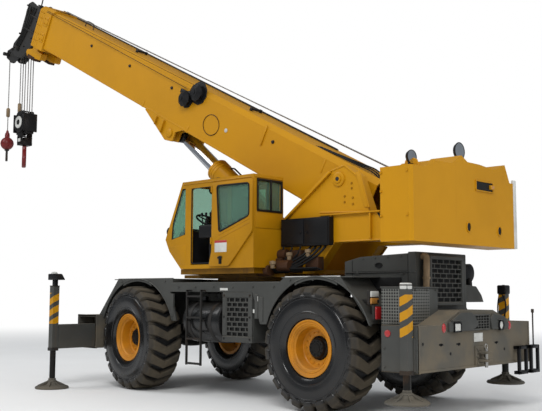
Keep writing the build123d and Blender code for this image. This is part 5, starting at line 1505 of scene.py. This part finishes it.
class CRANE_OT_boom_sides(CraneStep):
    """Welds, wear plates, brackets, dots, cable loop and bracket gussets on the boom's base section."""

    bl_idname = "crane.boom_sides"
    bl_label = "Boom sides"

    def build(self):
        side = BOOM_SIDE
        panel = rounded([(8800, -500), (9000, -500), (9000, 100), (8800, 100)], 50)
        parts = [plate(panel, side - 2, side + 6, "Y", 3.6, 1),
            block(-400, side - 2, -585, 8980, side + 4, -555, 3),
            block(550, side - 2, -100, 580, side + 6, 110, 2)]
        parts += [plate([(x, -595), (x + 50, -595), (x + 50, -500), (x, -470)], side - 2, side + 6)
            for x in (3620, 4980)]
        stop = block(1870, side, -170, 1900, side + 20, 160, 4)
        gussets = [plate([(x, -600), (x + 22, -600), (x + 22, -820 + (x - 4200) * 0.32),
            (x, -840 + (x - 4200) * 0.32)], side, side + 45) for x in (4260, 4480)]
        edge = bead([(4890, side, -600), (4120, side, -895), (3930, side, -855)], 10)
        finished(both_sides(*parts, stop, *gussets, edge), "boom_welds", "upper paint", "boom", ON_BOOM)
        handle = [pipe([(7620, 100, 190), (7620, 100, 300), (7700, 100, 310), (7880, 100, 310),
            (7930, 100, 290), (7930, 100, 190)], 10, 8, bends=4)]
        finished(handle, "boom_handle", "head paint", "boom", ON_BOOM)
        dots = bolts([(x, side, z) for x, z in ((7100, -46), (5725, -40), (4372, -32), (1662, -32))], 22)
        finished(both_sides(dots), "boom_dots", "head paint", "boom", ON_BOOM)
        loop = pipe([(3110 + 200 * cos(a), side + 6 + 3 * cos(3 * a), -270 + 170 * sin(a))
            for a in (tau * n / 18 for n in range(18))], 5.5, 8, closed=True, bends=3)
        finished(loop, "boom_cable", "rust primer", "boom", ON_BOOM)
        plug = solid([(0, 34), (6, 34), (12, 22)], "Y", 24, (2732, side, -230))
        finished(plug, "boom_plug", "white plate", "boom", ON_BOOM)
        rail = [block(900, -230, 193, 8950, -210, 222, 4)]
        rail += [block(900 + n * 1000, -260, 193, 960 + n * 1000, -200, 212, 4) for n in range(9)]
        finished(rail, "boom_rail", "head paint", "boom", ON_BOOM)
        rope = joined(rod((-300, 20, 360), (9000, 20, 262), sizes().rope_radius * 0.9, 8),
            rod((-300, -60, 340), (9000, -60, 262), sizes().rope_radius * 0.9, 8))
        finished(rope, "boom_ropes", "wire rope", "boom", ON_BOOM)
        rollers = [rod((x, -100, 225), (x, 100, 225), 18, 20) for x in (2600, 6000, 8900)]
        guides = [block(x - 30, y, 190, x + 30, y + 20, 250, 5) for x in (2600, 6000, 8900)
            for y in (-120, 100)]
        finished([*rollers, *guides], "rope_rollers", "oily steel", "boom", ON_BOOM)
        hoses = [pipe([(-420 + 50 * n, 240 - 60 * n, 150), (-300, 220 - 50 * n, 240 + 20 * n),
            (150, 220 - 50 * n, 220 + 12 * n), (600, 210 - 50 * n, 210), (950, 210 - 50 * n, 190)], 11, 8)
            for n in range(3)]
        finished(hoses, "boom_hoses", "black rubber", "boom", ON_BOOM)


class CRANE_OT_collars(CraneStep):
    """Bolted wear-pad covers on the base section's end collar, and bolts on the other sections' collars."""

    bl_idname = "crane.collars"
    bl_label = "Collars"

    def build(self):
        bodies = ("boom", "mid_section_1", "mid_section_2", "fly_section")
        for index, body in enumerate(bodies):
            front = 9050 + 75 * index
            back = front - (250 if index == 0 else 72)
            parts = []
            if index == 0:
                for z in (-480, -140):
                    parts.append(block(back + 50, 388, z, front - 40, 402, z + 200, 4))
                for x in (-200, 60):
                    parts.append(block(back + 50, x, 222, front - 40, x + 140, 238, 4))
                heads = [(back + 90, 402, z) for z in (-430, -330, -90, 10)]
                heads += [(front - 80, 402, z) for z in (-430, -330, -90, 10)]
                parts.append(bolts(heads, 13))
            else:
                parts.append(bolts([(front - 36, 390, z) for z in (-500, -350, -180, -20, 100)], 10))
            finished(both_sides(*parts), f"collar_fittings_{index}", "upper paint", body, ON_BOOM)


class CRANE_OT_head(CraneStep):
    """Boom head: dark side plates over the sheaves, grooved sheaves, pins and lug plates."""

    bl_idname = "crane.head"
    bl_label = "Boom head"

    def build(self):
        skins = both_sides(plate(rounded(HEAD_EDGE, 30, 3), 229, HEAD_SIDE, "Y", 2, 1))
        rim = both_sides(bead([(x, 236, z) for x, z in HEAD_EDGE[:6]], 7))
        braces = [block(9520, -200, -520, 9960, 200, -500, 4), block(9500, -200, 20, 9780, 200, 45, 4)]
        finished([skins, rim, *braces], "head_plates", "head paint", "fly_section", ON_BOOM)
        edge = [(10646, -1116), (10600, -1270), (10410, -1295), (10186, -1252), (10065, -1123),
            (9970, -830), (10220, -810)]
        nose = both_sides(plate(rounded(edge, 30, 3), 119, 127, "Y", 2, 1))
        finished(nose, "nose_plates", "head paint", "fly_section", ON_BOOM)
        wheels = []
        for (along, square), pitches in ((MAIN_SHEAVE, (-FALL_PITCH, 0, FALL_PITCH)),
                (IDLER_SHEAVE, (-FALL_PITCH / 2, FALL_PITCH / 2)), (AUX_SHEAVE, (0,))):
            for y in pitches:
                wheels.append(self.sheave(along, y, square))
        finished(wheels, "sheaves", "dark steel", "fly_section", ON_BOOM, "head_sheaves")
        pins = []
        for (along, square), out in ((MAIN_SHEAVE, 236), (IDLER_SHEAVE, 236), (AUX_SHEAVE, 127)):
            cap = solid([(out, 68), (out + 12, 66), (out + 16, 50), (out + 34, 48), (out + 36, 0)], "Y", 28,
                (along, 0, square))
            keep = block(along - 70, out, square + 60, along + 70, out + 12, square + 85, 3)
            pins.append(both_sides(cap, keep))
        heads = bolts([(x, 236, z) for x, z in ((9560, 20), (9560, -180), (9560, -380), (9600, -560),
            (9800, -800), (10030, -300), (10030, -480), (10180, -930))], 14)
        finished([*pins, both_sides(heads)], "head_pins", "oily steel", "fly_section", ON_BOOM)
        lug = [(9627, -877), (9621, -807), (9400, -735), (9380, -600), (9200, -600), (9180, -735),
            (8990, -740), (8990, -860), (9027, -885), (9540, -943)]
        bar = both_sides(plate(lug, 110, 250, "Y", 8))
        finished(bar, "head_lug", "upper paint", "fly_section", ON_BOOM)
        clamp = both_sides(block(9220, 110, -965, 9520, 262, -885, 10), rod((9300, 100, -930),
            (9300, 280, -930), 22, 16))
        finished(clamp, "head_clamp", "rust primer", "fly_section", ON_BOOM)
        lines = [pipe([(9700 + 90 * n, 245 + 12 * n, 80), (9740 + 80 * n, 262, -150),
            (9820 + 50 * n, 256, -420), (9900 + 40 * n, 262, -660), (9980 + 50 * n, 250, -860)], 13, 8)
            for n in range(4)]
        guards = [block(9520, 236, z, 10020, 262, z + 35, 6) for z in (-120, -440)]
        guards += [rod((x, -240, z), (x, 280, z), 20, 14) for x, z in ((10060, 60), (10070, -580),
            (9500, -620), (10220, -980))]
        finished(lines, "head_lines", "black rubber", "fly_section", ON_BOOM)
        finished(guards, "head_guards", "dark steel", "fly_section", ON_BOOM)
        spike = joined(rod((9970, 0, 120), (9990, 0, 340), 14, 12), block(9930, -50, 100, 10030, 50, 140,
            6), pipe([(10030, 210, 50), (10120, 210, 20), (10150, 210, -100), (10120, 200, -220)], 10, 8))
        finished(spike, "head_spike", "dark steel", "fly_section", ON_BOOM)
        rope = pipe([(9300, 0, 200), (9700, 0, 130), (9980, 0, 80), (10070, 0, -40)], sizes().rope_radius, 8,
            bends=4)
        finished(rope, "head_rope", "wire rope", "fly_section", ON_BOOM)

    def sheave(self, along, y, square):
        groove = SHEAVE_GROOVE
        rim = groove + 18
        profile = [(-23, rim - 2), (-19, rim), (-14, rim), (-8, groove + 3), (8, groove + 3), (14, rim),
            (19, rim), (23, rim - 2), (21, groove - 12), (8, groove - 22), (8, 72), (22, 64), (22, 40),
            (-22, 40), (-22, 64), (-8, 72), (-8, groove - 22), (-21, groove - 12)]
        return turned(profile, "Y", 48, (along, y, square))


class CRANE_OT_reels(CraneStep):
    """Two cable reels on the boom's left side, with their flanges, cable and brackets."""

    bl_idname = "crane.reels"
    bl_label = "Cable reels"

    def build(self):
        side = BOOM_SIDE
        first = solid([(0, 150), (12, 155), (22, 150), (26, 115), (75, 110), (85, 142), (94, 140),
            (150, 70), (152, 0)], "Y", 8, (3880, side, -80), 20)
        second = solid([(0, 198), (10, 202), (16, 196), (20, 125), (70, 120), (80, 152), (90, 148),
            (135, 72), (137, 0)], "Y", 10, (3640, side, 110), 20)
        caps = [solid([(out, 36), (out + 10, 34), (out + 12, 0)], "Y", 20, (x, side, z)) for x, z,
            out in ((3880, -80, 150), (3640, 110, 135))]
        guide = block(3930, side + 2, -20, 4080, side + 50, 50, 8)
        finished([first, second, *caps, guide], "reels", "moulded black", "boom", ON_BOOM, "cable_reels")
        wire = joined(rod((3950, side + 40, 90), (9000, side + 35, 150), 5, 8), rod((3700, side + 25, 200),
            (9000, side + 30, 175), 4, 8))
        finished(wire, "reel_wires", "black rubber", "boom", ON_BOOM)


class CRANE_OT_lift(CraneStep):
    """Lift cylinder: barrel with its gland, ridges, eye and oil pipe, and the chromed rod with its eye."""

    bl_idname = "crane.lift"
    bl_label = "Lift cylinder"

    def build(self):
        shell = solid([(100, 165), (125, 184), (2150, 185), (2158, 190), (2165, 197), (2200, 197),
            (2205, 191), (2215, 191), (2220, 197), (2250, 197), (2255, 191), (2265, 191), (2270, 197),
            (2310, 197), (2320, 190), (2320, 124), (150, 124)], "X", 56)
        eye = turned([(-145, 62), (-145, 128), (-138, 135), (138, 135), (145, 128), (145, 62)], "Y", 40)
        neck = block(40, -135, -100, 160, 135, 100, 30, 3)
        finished([shell, eye, neck], "lift_tube", "upper paint", "lift_barrel_body", ON_LIFT, "lift_barrel")
        line = pipe([(320, 0, 185), (360, 0, 235), (500, 0, 240), (1900, 0, 240), (2020, 0, 235),
            (2050, 0, 185)], 14, 10)
        clips = [block(x, -30, 175, x + 40, 30, 255, 5) for x in (750, 1250, 1700)]
        finished([line, *clips, bolts(ring_of(12, 160, (2320, 0, 0), "X"), 11, (1, 0, 0))], "lift_pipe",
            "oily steel", "lift_barrel_body", ON_LIFT)
        stem = solid([(LIFT_LENGTH - 2440, 119), (LIFT_LENGTH - 140, 120), (LIFT_LENGTH - 130, 117),
            (LIFT_LENGTH - 90, 100)], "X", 48)
        finished(stem, "lift_stem", "chromed rod", "lift_rod_body", ON_LIFT, "lift_rod")
        eye = turned([(-145, 62), (-145, 126), (-136, 135), (136, 135), (145, 126), (145, 62)], "Y", 40,
            (LIFT_LENGTH, 0, 0))
        neck = block(LIFT_LENGTH - 150, -100, -90, LIFT_LENGTH - 50, 100, 90, 20, 3)
        finished([eye, neck], "lift_rod_eye", "oily steel", "lift_rod_body", ON_LIFT)
        pin = solid([(360, 75), (380, 73), (386, 62)], "Y", 28, (4050, 0, -750))
        finished(both_sides(pin), "lift_pin_caps", "upper paint", "boom", ON_BOOM)


# ---------------------------------------------------------------- hooks, drawn with Z up
BLOCK_AT = (ON_BOOM @ Vector((MAIN_SHEAVE[0], 0, MAIN_SHEAVE[1]))).x
MAIN_TOP = (ON_BOOM @ Vector((MAIN_SHEAVE[0], 0, MAIN_SHEAVE[1]))).z
AUX_TOP = (ON_BOOM @ Vector((AUX_SHEAVE[0], 0, AUX_SHEAVE[1]))).z
BALL_AT = (ON_BOOM @ Vector((AUX_SHEAVE[0], 0, AUX_SHEAVE[1]))).x + FALL_OUT
BLOCK_PIN = 5215
BALL_MIDDLE = 4850
BALL_RADIUS = 145
HOOK_TURN = radians(-30)


def hook_piece(reach, thick, top):
    """Forged hook with its shank, latch and tip, opening to the front."""
    middle = top - reach * 1.55
    outline = []
    for angle in range(-8, 191, 14):
        turn = radians(-angle)
        outline.append((reach * cos(turn), middle + reach * sin(turn)))
    outline += [(-reach * 0.86, middle + reach * 0.42), (-reach * 0.52, middle + reach * 0.86),
        (-reach * 0.26, middle + reach * 1.05), (-reach * 0.24, top), (reach * 0.24, top),
        (reach * 0.22, middle + reach * 1.0), (reach * 0.02, middle + reach * 0.8),
        (-reach * 0.3, middle + reach * 0.45), (-reach * 0.47, middle + reach * 0.18)]
    for angle in range(-4, 185, 14):
        turn = radians(180 + angle)
        outline.append((reach * 0.49 * cos(turn), middle + reach * 0.49 * sin(turn)))
    outline += [(reach * 0.6, middle + reach * 0.3), (reach * 0.92, middle + reach * 0.34)]
    body = plate(outline, -thick / 2, thick / 2, "Y", thick * 0.26, 3)
    return shade(body, 60)


class CRANE_OT_hook_block(CraneStep):
    """Hook block: rounded cheeks with their covers, sheaves, trunnion, rope falls and the main hook."""

    bl_idname = "crane.hook_block"
    bl_label = "Hook block"

    def build(self):
        place = Matrix.Translation((BLOCK_AT, 0, 0))
        pin = BLOCK_PIN
        cheek = solid([(100, 216), (106, 222), (146, 222), (160, 208), (165, 150)], "Y", 56, (0, 0, pin))
        guard = plate([(-210, pin - 20), (210, pin - 20), (165, pin + 235), (110, pin + 262),
            (-110, pin + 262), (-165, pin + 235)], 101, 115, "Y", 6)
        link = plate([(-140, pin), (140, pin), (95, pin - 280), (95, pin - 500), (-95, pin - 500),
            (-95, pin - 280)], 101, 130, "Y", 6)
        spacer = [rod((x, -100, pin + z), (x, 100, pin + z), 16, 12) for x, z in ((-120, 235), (120, 235),
            (0, -300))]
        sides = both_sides(cheek, guard, link)
        for sign in SIDES.values():
            low, high = sorted((sign * 196, sign * 222))
            spacer.append(block(low, -165, pin - 210, high, 165, pin + 190, 10))
            low, high = sorted((sign * 100, sign * 196))
            spacer.append(block(low, -100, pin - 250, high, 100, pin - 200, 8))
        cross = cut(block(-92, -99, pin - 500, 92, 99, pin - 380, 12, 3), rod((0, 0, pin - 600),
            (0, 0, pin - 300), 41, 32))
        finished([sides, *spacer, cross], "block_cheeks", "block paint", "block", place, "hook_block")
        cover = turned([(164, 55), (164, 135), (174, 130), (176, 62)], "Y", 48, (0, 0, pin))
        finished(both_sides(cover), "block_covers", "white plate", "block", place)
        centre = solid([(162, 54), (182, 50), (185, 0)], "Y", 32, (0, 0, pin))
        heads = bolts(ring_of(6, 178, (0, 160, pin), "Y"), 13)
        tags = bolts([(x, 130, pin - z) for x in (-60, 60) for z in (330, 450)], 14)
        finished(both_sides(centre, heads, tags), "block_pins", "oily steel", "block", place)
        tag = block(-50, 130, pin - 425, 50, 136, pin - 355, 3)
        finished(tag, "block_tag", "white plate", "block", place)
        wheels = []
        for y in (-FALL_PITCH, 0, FALL_PITCH):
            groove = SHEAVE_GROOVE
            wheels.append(turned([(-23, 42), (-23, groove + 18), (-14, groove + 18), (-8, groove),
                (8, groove), (14, groove + 18), (23, groove + 18), (23, 42)], "Y", 48, (0, y, pin)))
        finished(wheels, "block_sheaves", "dark steel", "block", place)
        ropes = [rod((out, y, pin), (out, y, MAIN_TOP), sizes().rope_radius, 10, 1)
            for y in (-FALL_PITCH, 0, FALL_PITCH) for out in (-FALL_OUT, FALL_OUT)]
        ropes += [pipe([(FALL_OUT * cos(a), y, pin + FALL_OUT * sin(a)) for a in (radians(180 + 20 * n)
            for n in range(10))], sizes().rope_radius, 8, bends=2) for y in (-FALL_PITCH, 0, FALL_PITCH)]
        finished(ropes, "main_falls", "wire rope", "block", place)
        weight = turned([(-100, 14), (-100, 30), (-80, 40), (80, 40), (100, 30), (100, 14)], "Z", 20,
            (FALL_OUT, FALL_PITCH, 5570))
        finished(weight, "fall_weight", "exhaust tan", "block", place)
        self.build_hook(place)

    def build_hook(self, place):
        turn = place @ Matrix.Rotation(HOOK_TURN, 4, "Z")
        top = BLOCK_PIN - 506
        finished(hook_piece(190, 90, top), "hook_forging", "hook paint", "hook", turn, "main_hook")
        stem = joined(rod((0, 0, top - 30), (0, 0, BLOCK_PIN - 330), 39.5, 28), turned([(BLOCK_PIN - 379.6,
            38), (BLOCK_PIN - 379.6, 78), (BLOCK_PIN - 335, 78), (BLOCK_PIN - 330, 70),
            (BLOCK_PIN - 330, 38)], "Z", 6))
        finished(stem, "hook_stem", "oily steel", "hook", turn)
        latch = joined(plate([(15, top - 130), (32, top - 115), (165, top - 245), (150, top - 262)], -16,
            16, "Y", 4), rod((20, -35, top - 125), (20, 35, top - 125), 10, 12))
        finished(latch, "hook_latch", "bare steel", "hook", turn)


class CRANE_OT_ball(CraneStep):
    """Headache ball with its rope socket and shackle above and the small hook below."""

    bl_idname = "crane.ball"
    bl_label = "Ball and hook"

    def build(self):
        place = Matrix.Translation((BALL_AT, 0, 0))
        middle = BALL_MIDDLE
        turn = place @ Matrix.Rotation(HOOK_TURN, 4, "Z")
        turns = [pi * step / 18 - pi / 2 for step in range(1, 18)]
        shell = [(BALL_RADIUS * sin(a), BALL_RADIUS * cos(a)) for a in turns if abs(sin(a)) < 0.95]
        ball = solid([(-139, 42), *shell, (139, 42)], "Z", 48, (0, 0, middle))
        seam = turned([(-6, 142), (-4, 147.5), (4, 147.5), (6, 142)], "Z", 48, (0, 0, middle))
        finished([ball, seam], "ball_weight", "hook paint", "ball", place, "ball_hook")
        socket = solid([(120, 50), (150, 55), (165, 40), (190, 34), (270, 30), (300, 20)], "Z", 24,
            (0, 0, middle))
        bow = pipe([(0, -42, middle + 130), (0, -46, middle + 200), (0, -30, middle + 245),
            (0, 0, middle + 262), (0, 30, middle + 245), (0, 46, middle + 200), (0, 42, middle + 130)], 12,
            10)
        nut = solid([(-165, 50), (-158, 58), (-132, 58)], "Z", 6, (0, 0, middle))
        finished([socket, bow], "ball_socket", "hook paint", "ball", turn)
        finished(nut, "ball_nut", "dark steel", "ball", turn)
        rope = rod((0, 0, middle + 280), (0, 0, AUX_TOP), sizes().rope_radius, 10, 1)
        finished(rope, "ball_rope", "wire rope", "ball", place)
        weight = turned([(-100, 14), (-100, 30), (-80, 42), (80, 42), (100, 30), (100, 14)], "Z", 20,
            (0, 0, 5560))
        finished(weight, "ball_rope_weight", "exhaust tan", "ball", place)
        top = middle - 125
        finished(hook_piece(110, 50, top), "ball_hook_forging", "dark steel", "ball", turn)
        latch = plate([(8, top - 75), (18, top - 66), (96, top - 142), (87, top - 152)], -9, 9, "Y", 2)
        finished(latch, "ball_hook_latch", "bare steel", "ball", turn)




# ---------------------------------------------------------------- stage
CAMERA_AT = Vector((-9.142, 9.709, 1.52))
CAMERA_YAW = radians(-46.694)
CAMERA_PITCH = radians(5.858)
CAMERA_ROLL = radians(0.219)
CAMERA_LENS = 56.46
SENSOR_WIDTH = 36.0


class CRANE_OT_stage(CraneStep):
    """Makes the camera, the pale floor, the soft lamps and the surrounding light."""

    bl_idname = "crane.stage"
    bl_label = "Stage"

    def build(self):
        scene = bpy.context.scene
        scene.view_settings.view_transform = "Standard"
        self.make_camera(scene)
        self.make_floor()
        self.make_light(scene)

    def make_camera(self, scene):
        pitch, yaw = CAMERA_PITCH, CAMERA_YAW
        ahead = Vector((cos(yaw) * cos(pitch), sin(yaw) * cos(pitch), sin(pitch)))
        level = ahead.cross(AXES["Z"]).normalized()
        upright = level.cross(ahead)
        right = level * cos(CAMERA_ROLL) + upright * sin(CAMERA_ROLL)
        up = upright * cos(CAMERA_ROLL) - level * sin(CAMERA_ROLL)
        bpy.ops.object.camera_add()
        camera = bpy.context.object
        camera.name = "crane_camera"
        turn = Matrix((right, up, -ahead)).transposed().to_4x4()
        camera.matrix_world = Matrix.Translation(CAMERA_AT + Vector((SLEW_X, 0, 0))) @ turn
        camera.data.sensor_width = SENSOR_WIDTH
        camera.data.lens = CAMERA_LENS
        camera.data.clip_end = 400
        scene.camera = camera

    def make_floor(self):
        bpy.ops.object.select_all(action="DESELECT")
        bpy.ops.mesh.primitive_circle_add(vertices=96, radius=150, fill_type="NGON", location=(0, 0, -0.002))
        floor = added()
        floor.name = "studio_floor"
        tree, shader = new_coat("pale floor", Roughness=0.95, **{"Specular IOR Level": 0.1})
        at = add(tree, "TexCoord").outputs["Object"]
        tone = blended(tree, noise(tree, at, 0.6, 4.0), (0.80, 0.80, 0.79, 1), (0.86, 0.86, 0.85, 1))
        tree.links.new(tone, shader.inputs["Base Color"])
        apart = add(tree, "VectorMath", {0: at}, operation="LENGTH").outputs["Value"]
        seen = add(tree, "LightPath").outputs["Is Camera Ray"]
        bright = add(tree, "Emission", {"Color": (1, 1, 1, 1), "Strength": 1.0})
        fade = maths(tree, "MULTIPLY", span(tree, apart, 8.0, 26.0), seen)
        mixed = add(tree, "MixShader", {0: fade, 1: shader.outputs[0], 2: bright.outputs[0]})
        tree.links.new(mixed.outputs[0], tree.nodes["Material Output"].inputs["Surface"])
        floor.data.materials.append(bpy.data.materials["pale floor"])

    def make_light(self, scene):
        world = bpy.data.worlds.new("studio")
        scene.world = world
        world.use_nodes = True
        tree = world.node_tree
        tree.nodes.clear()
        path = add(tree, "LightPath")
        shown = maths(tree, "ADD", path.outputs["Is Camera Ray"], path.outputs["Is Transmission Ray"])
        light = add(tree, "Background", {"Color": (0.93, 0.96, 1.0, 1), "Strength": 0.62})
        white = add(tree, "Background", {"Color": (1, 1, 1, 1), "Strength": 1.0})
        dim = add(tree, "Background", {"Color": (0.85, 0.92, 1.0, 1), "Strength": 0.24})
        lit = add(tree, "MixShader", {0: path.outputs["Is Glossy Ray"], 1: light.outputs[0],
            2: dim.outputs[0]})
        mixed = add(tree, "MixShader", {0: shown, 1: lit.outputs[0], 2: white.outputs[0]})
        output = add(tree, "OutputWorld")
        tree.links.new(mixed.outputs[0], output.inputs["Surface"])
        lamps = (("key_lamp", (-9, 12, 14), 7.0, 1500), ("fill_lamp", (-16, -4, 9), 8.0, 500),
            ("rim_lamp", (9, 9, 13), 7.0, 650))
        for name, place, size, power in lamps:
            bpy.ops.object.light_add(type="AREA", location=(place[0] + SLEW_X, place[1], place[2]))
            lamp = bpy.context.object
            lamp.name = name
            lamp.rotation_euler = (Vector((SLEW_X, 0, 2.5)) - lamp.location).to_track_quat("-Z",
                "Y").to_euler()
            lamp.data.size = size
            lamp.data.energy = power


class CRANE_PT_steps(bpy.types.Panel):
    """Lists the steps of the build with their sizes and colours."""

    bl_label = "Mobile crane"
    bl_idname = "CRANE_PT_steps"
    bl_space_type = "VIEW_3D"
    bl_region_type = "UI"
    bl_category = "Crane"

    def draw(self, context):
        for group in (context.scene.crane_sizes, context.scene.crane_colours):
            column = self.layout.column()
            for name in group.__annotations__:
                column.prop(group, name)
        for step in STEPS:
            self.layout.operator(step.bl_idname)


STEPS = (
    CRANE_OT_finishes,
    CRANE_OT_wheels,
    CRANE_OT_fenders,
    CRANE_OT_rear_face,
    CRANE_OT_outriggers,
    CRANE_OT_engine_bay,
    CRANE_OT_left_side,
    CRANE_OT_running_gear,
    CRANE_OT_counterweight,
    CRANE_OT_mast,
    CRANE_OT_winches,
    CRANE_OT_valves,
    CRANE_OT_cab_door,
    CRANE_OT_cab_outside,
    CRANE_OT_cab_inside,
    CRANE_OT_boom_sides,
    CRANE_OT_collars,
    CRANE_OT_head,
    CRANE_OT_reels,
    CRANE_OT_lift,
    CRANE_OT_hook_block,
    CRANE_OT_ball,
    CRANE_OT_stage,
)
CLASSES = (CraneSizes, CraneColours, *STEPS, CRANE_PT_steps)


def register():
    for item in CLASSES:
        bpy.utils.register_class(item)
    bpy.types.Scene.crane_sizes = PointerProperty(type=CraneSizes)
    bpy.types.Scene.crane_colours = PointerProperty(type=CraneColours)


def unregister():
    del bpy.types.Scene.crane_colours
    del bpy.types.Scene.crane_sizes
    for item in reversed(CLASSES):
        bpy.utils.unregister_class(item)


def main():
    register()
    for step in STEPS:
        group, name = step.bl_idname.split(".")
        getattr(getattr(bpy.ops, group), name)()


if __name__ == "__main__":
    main()
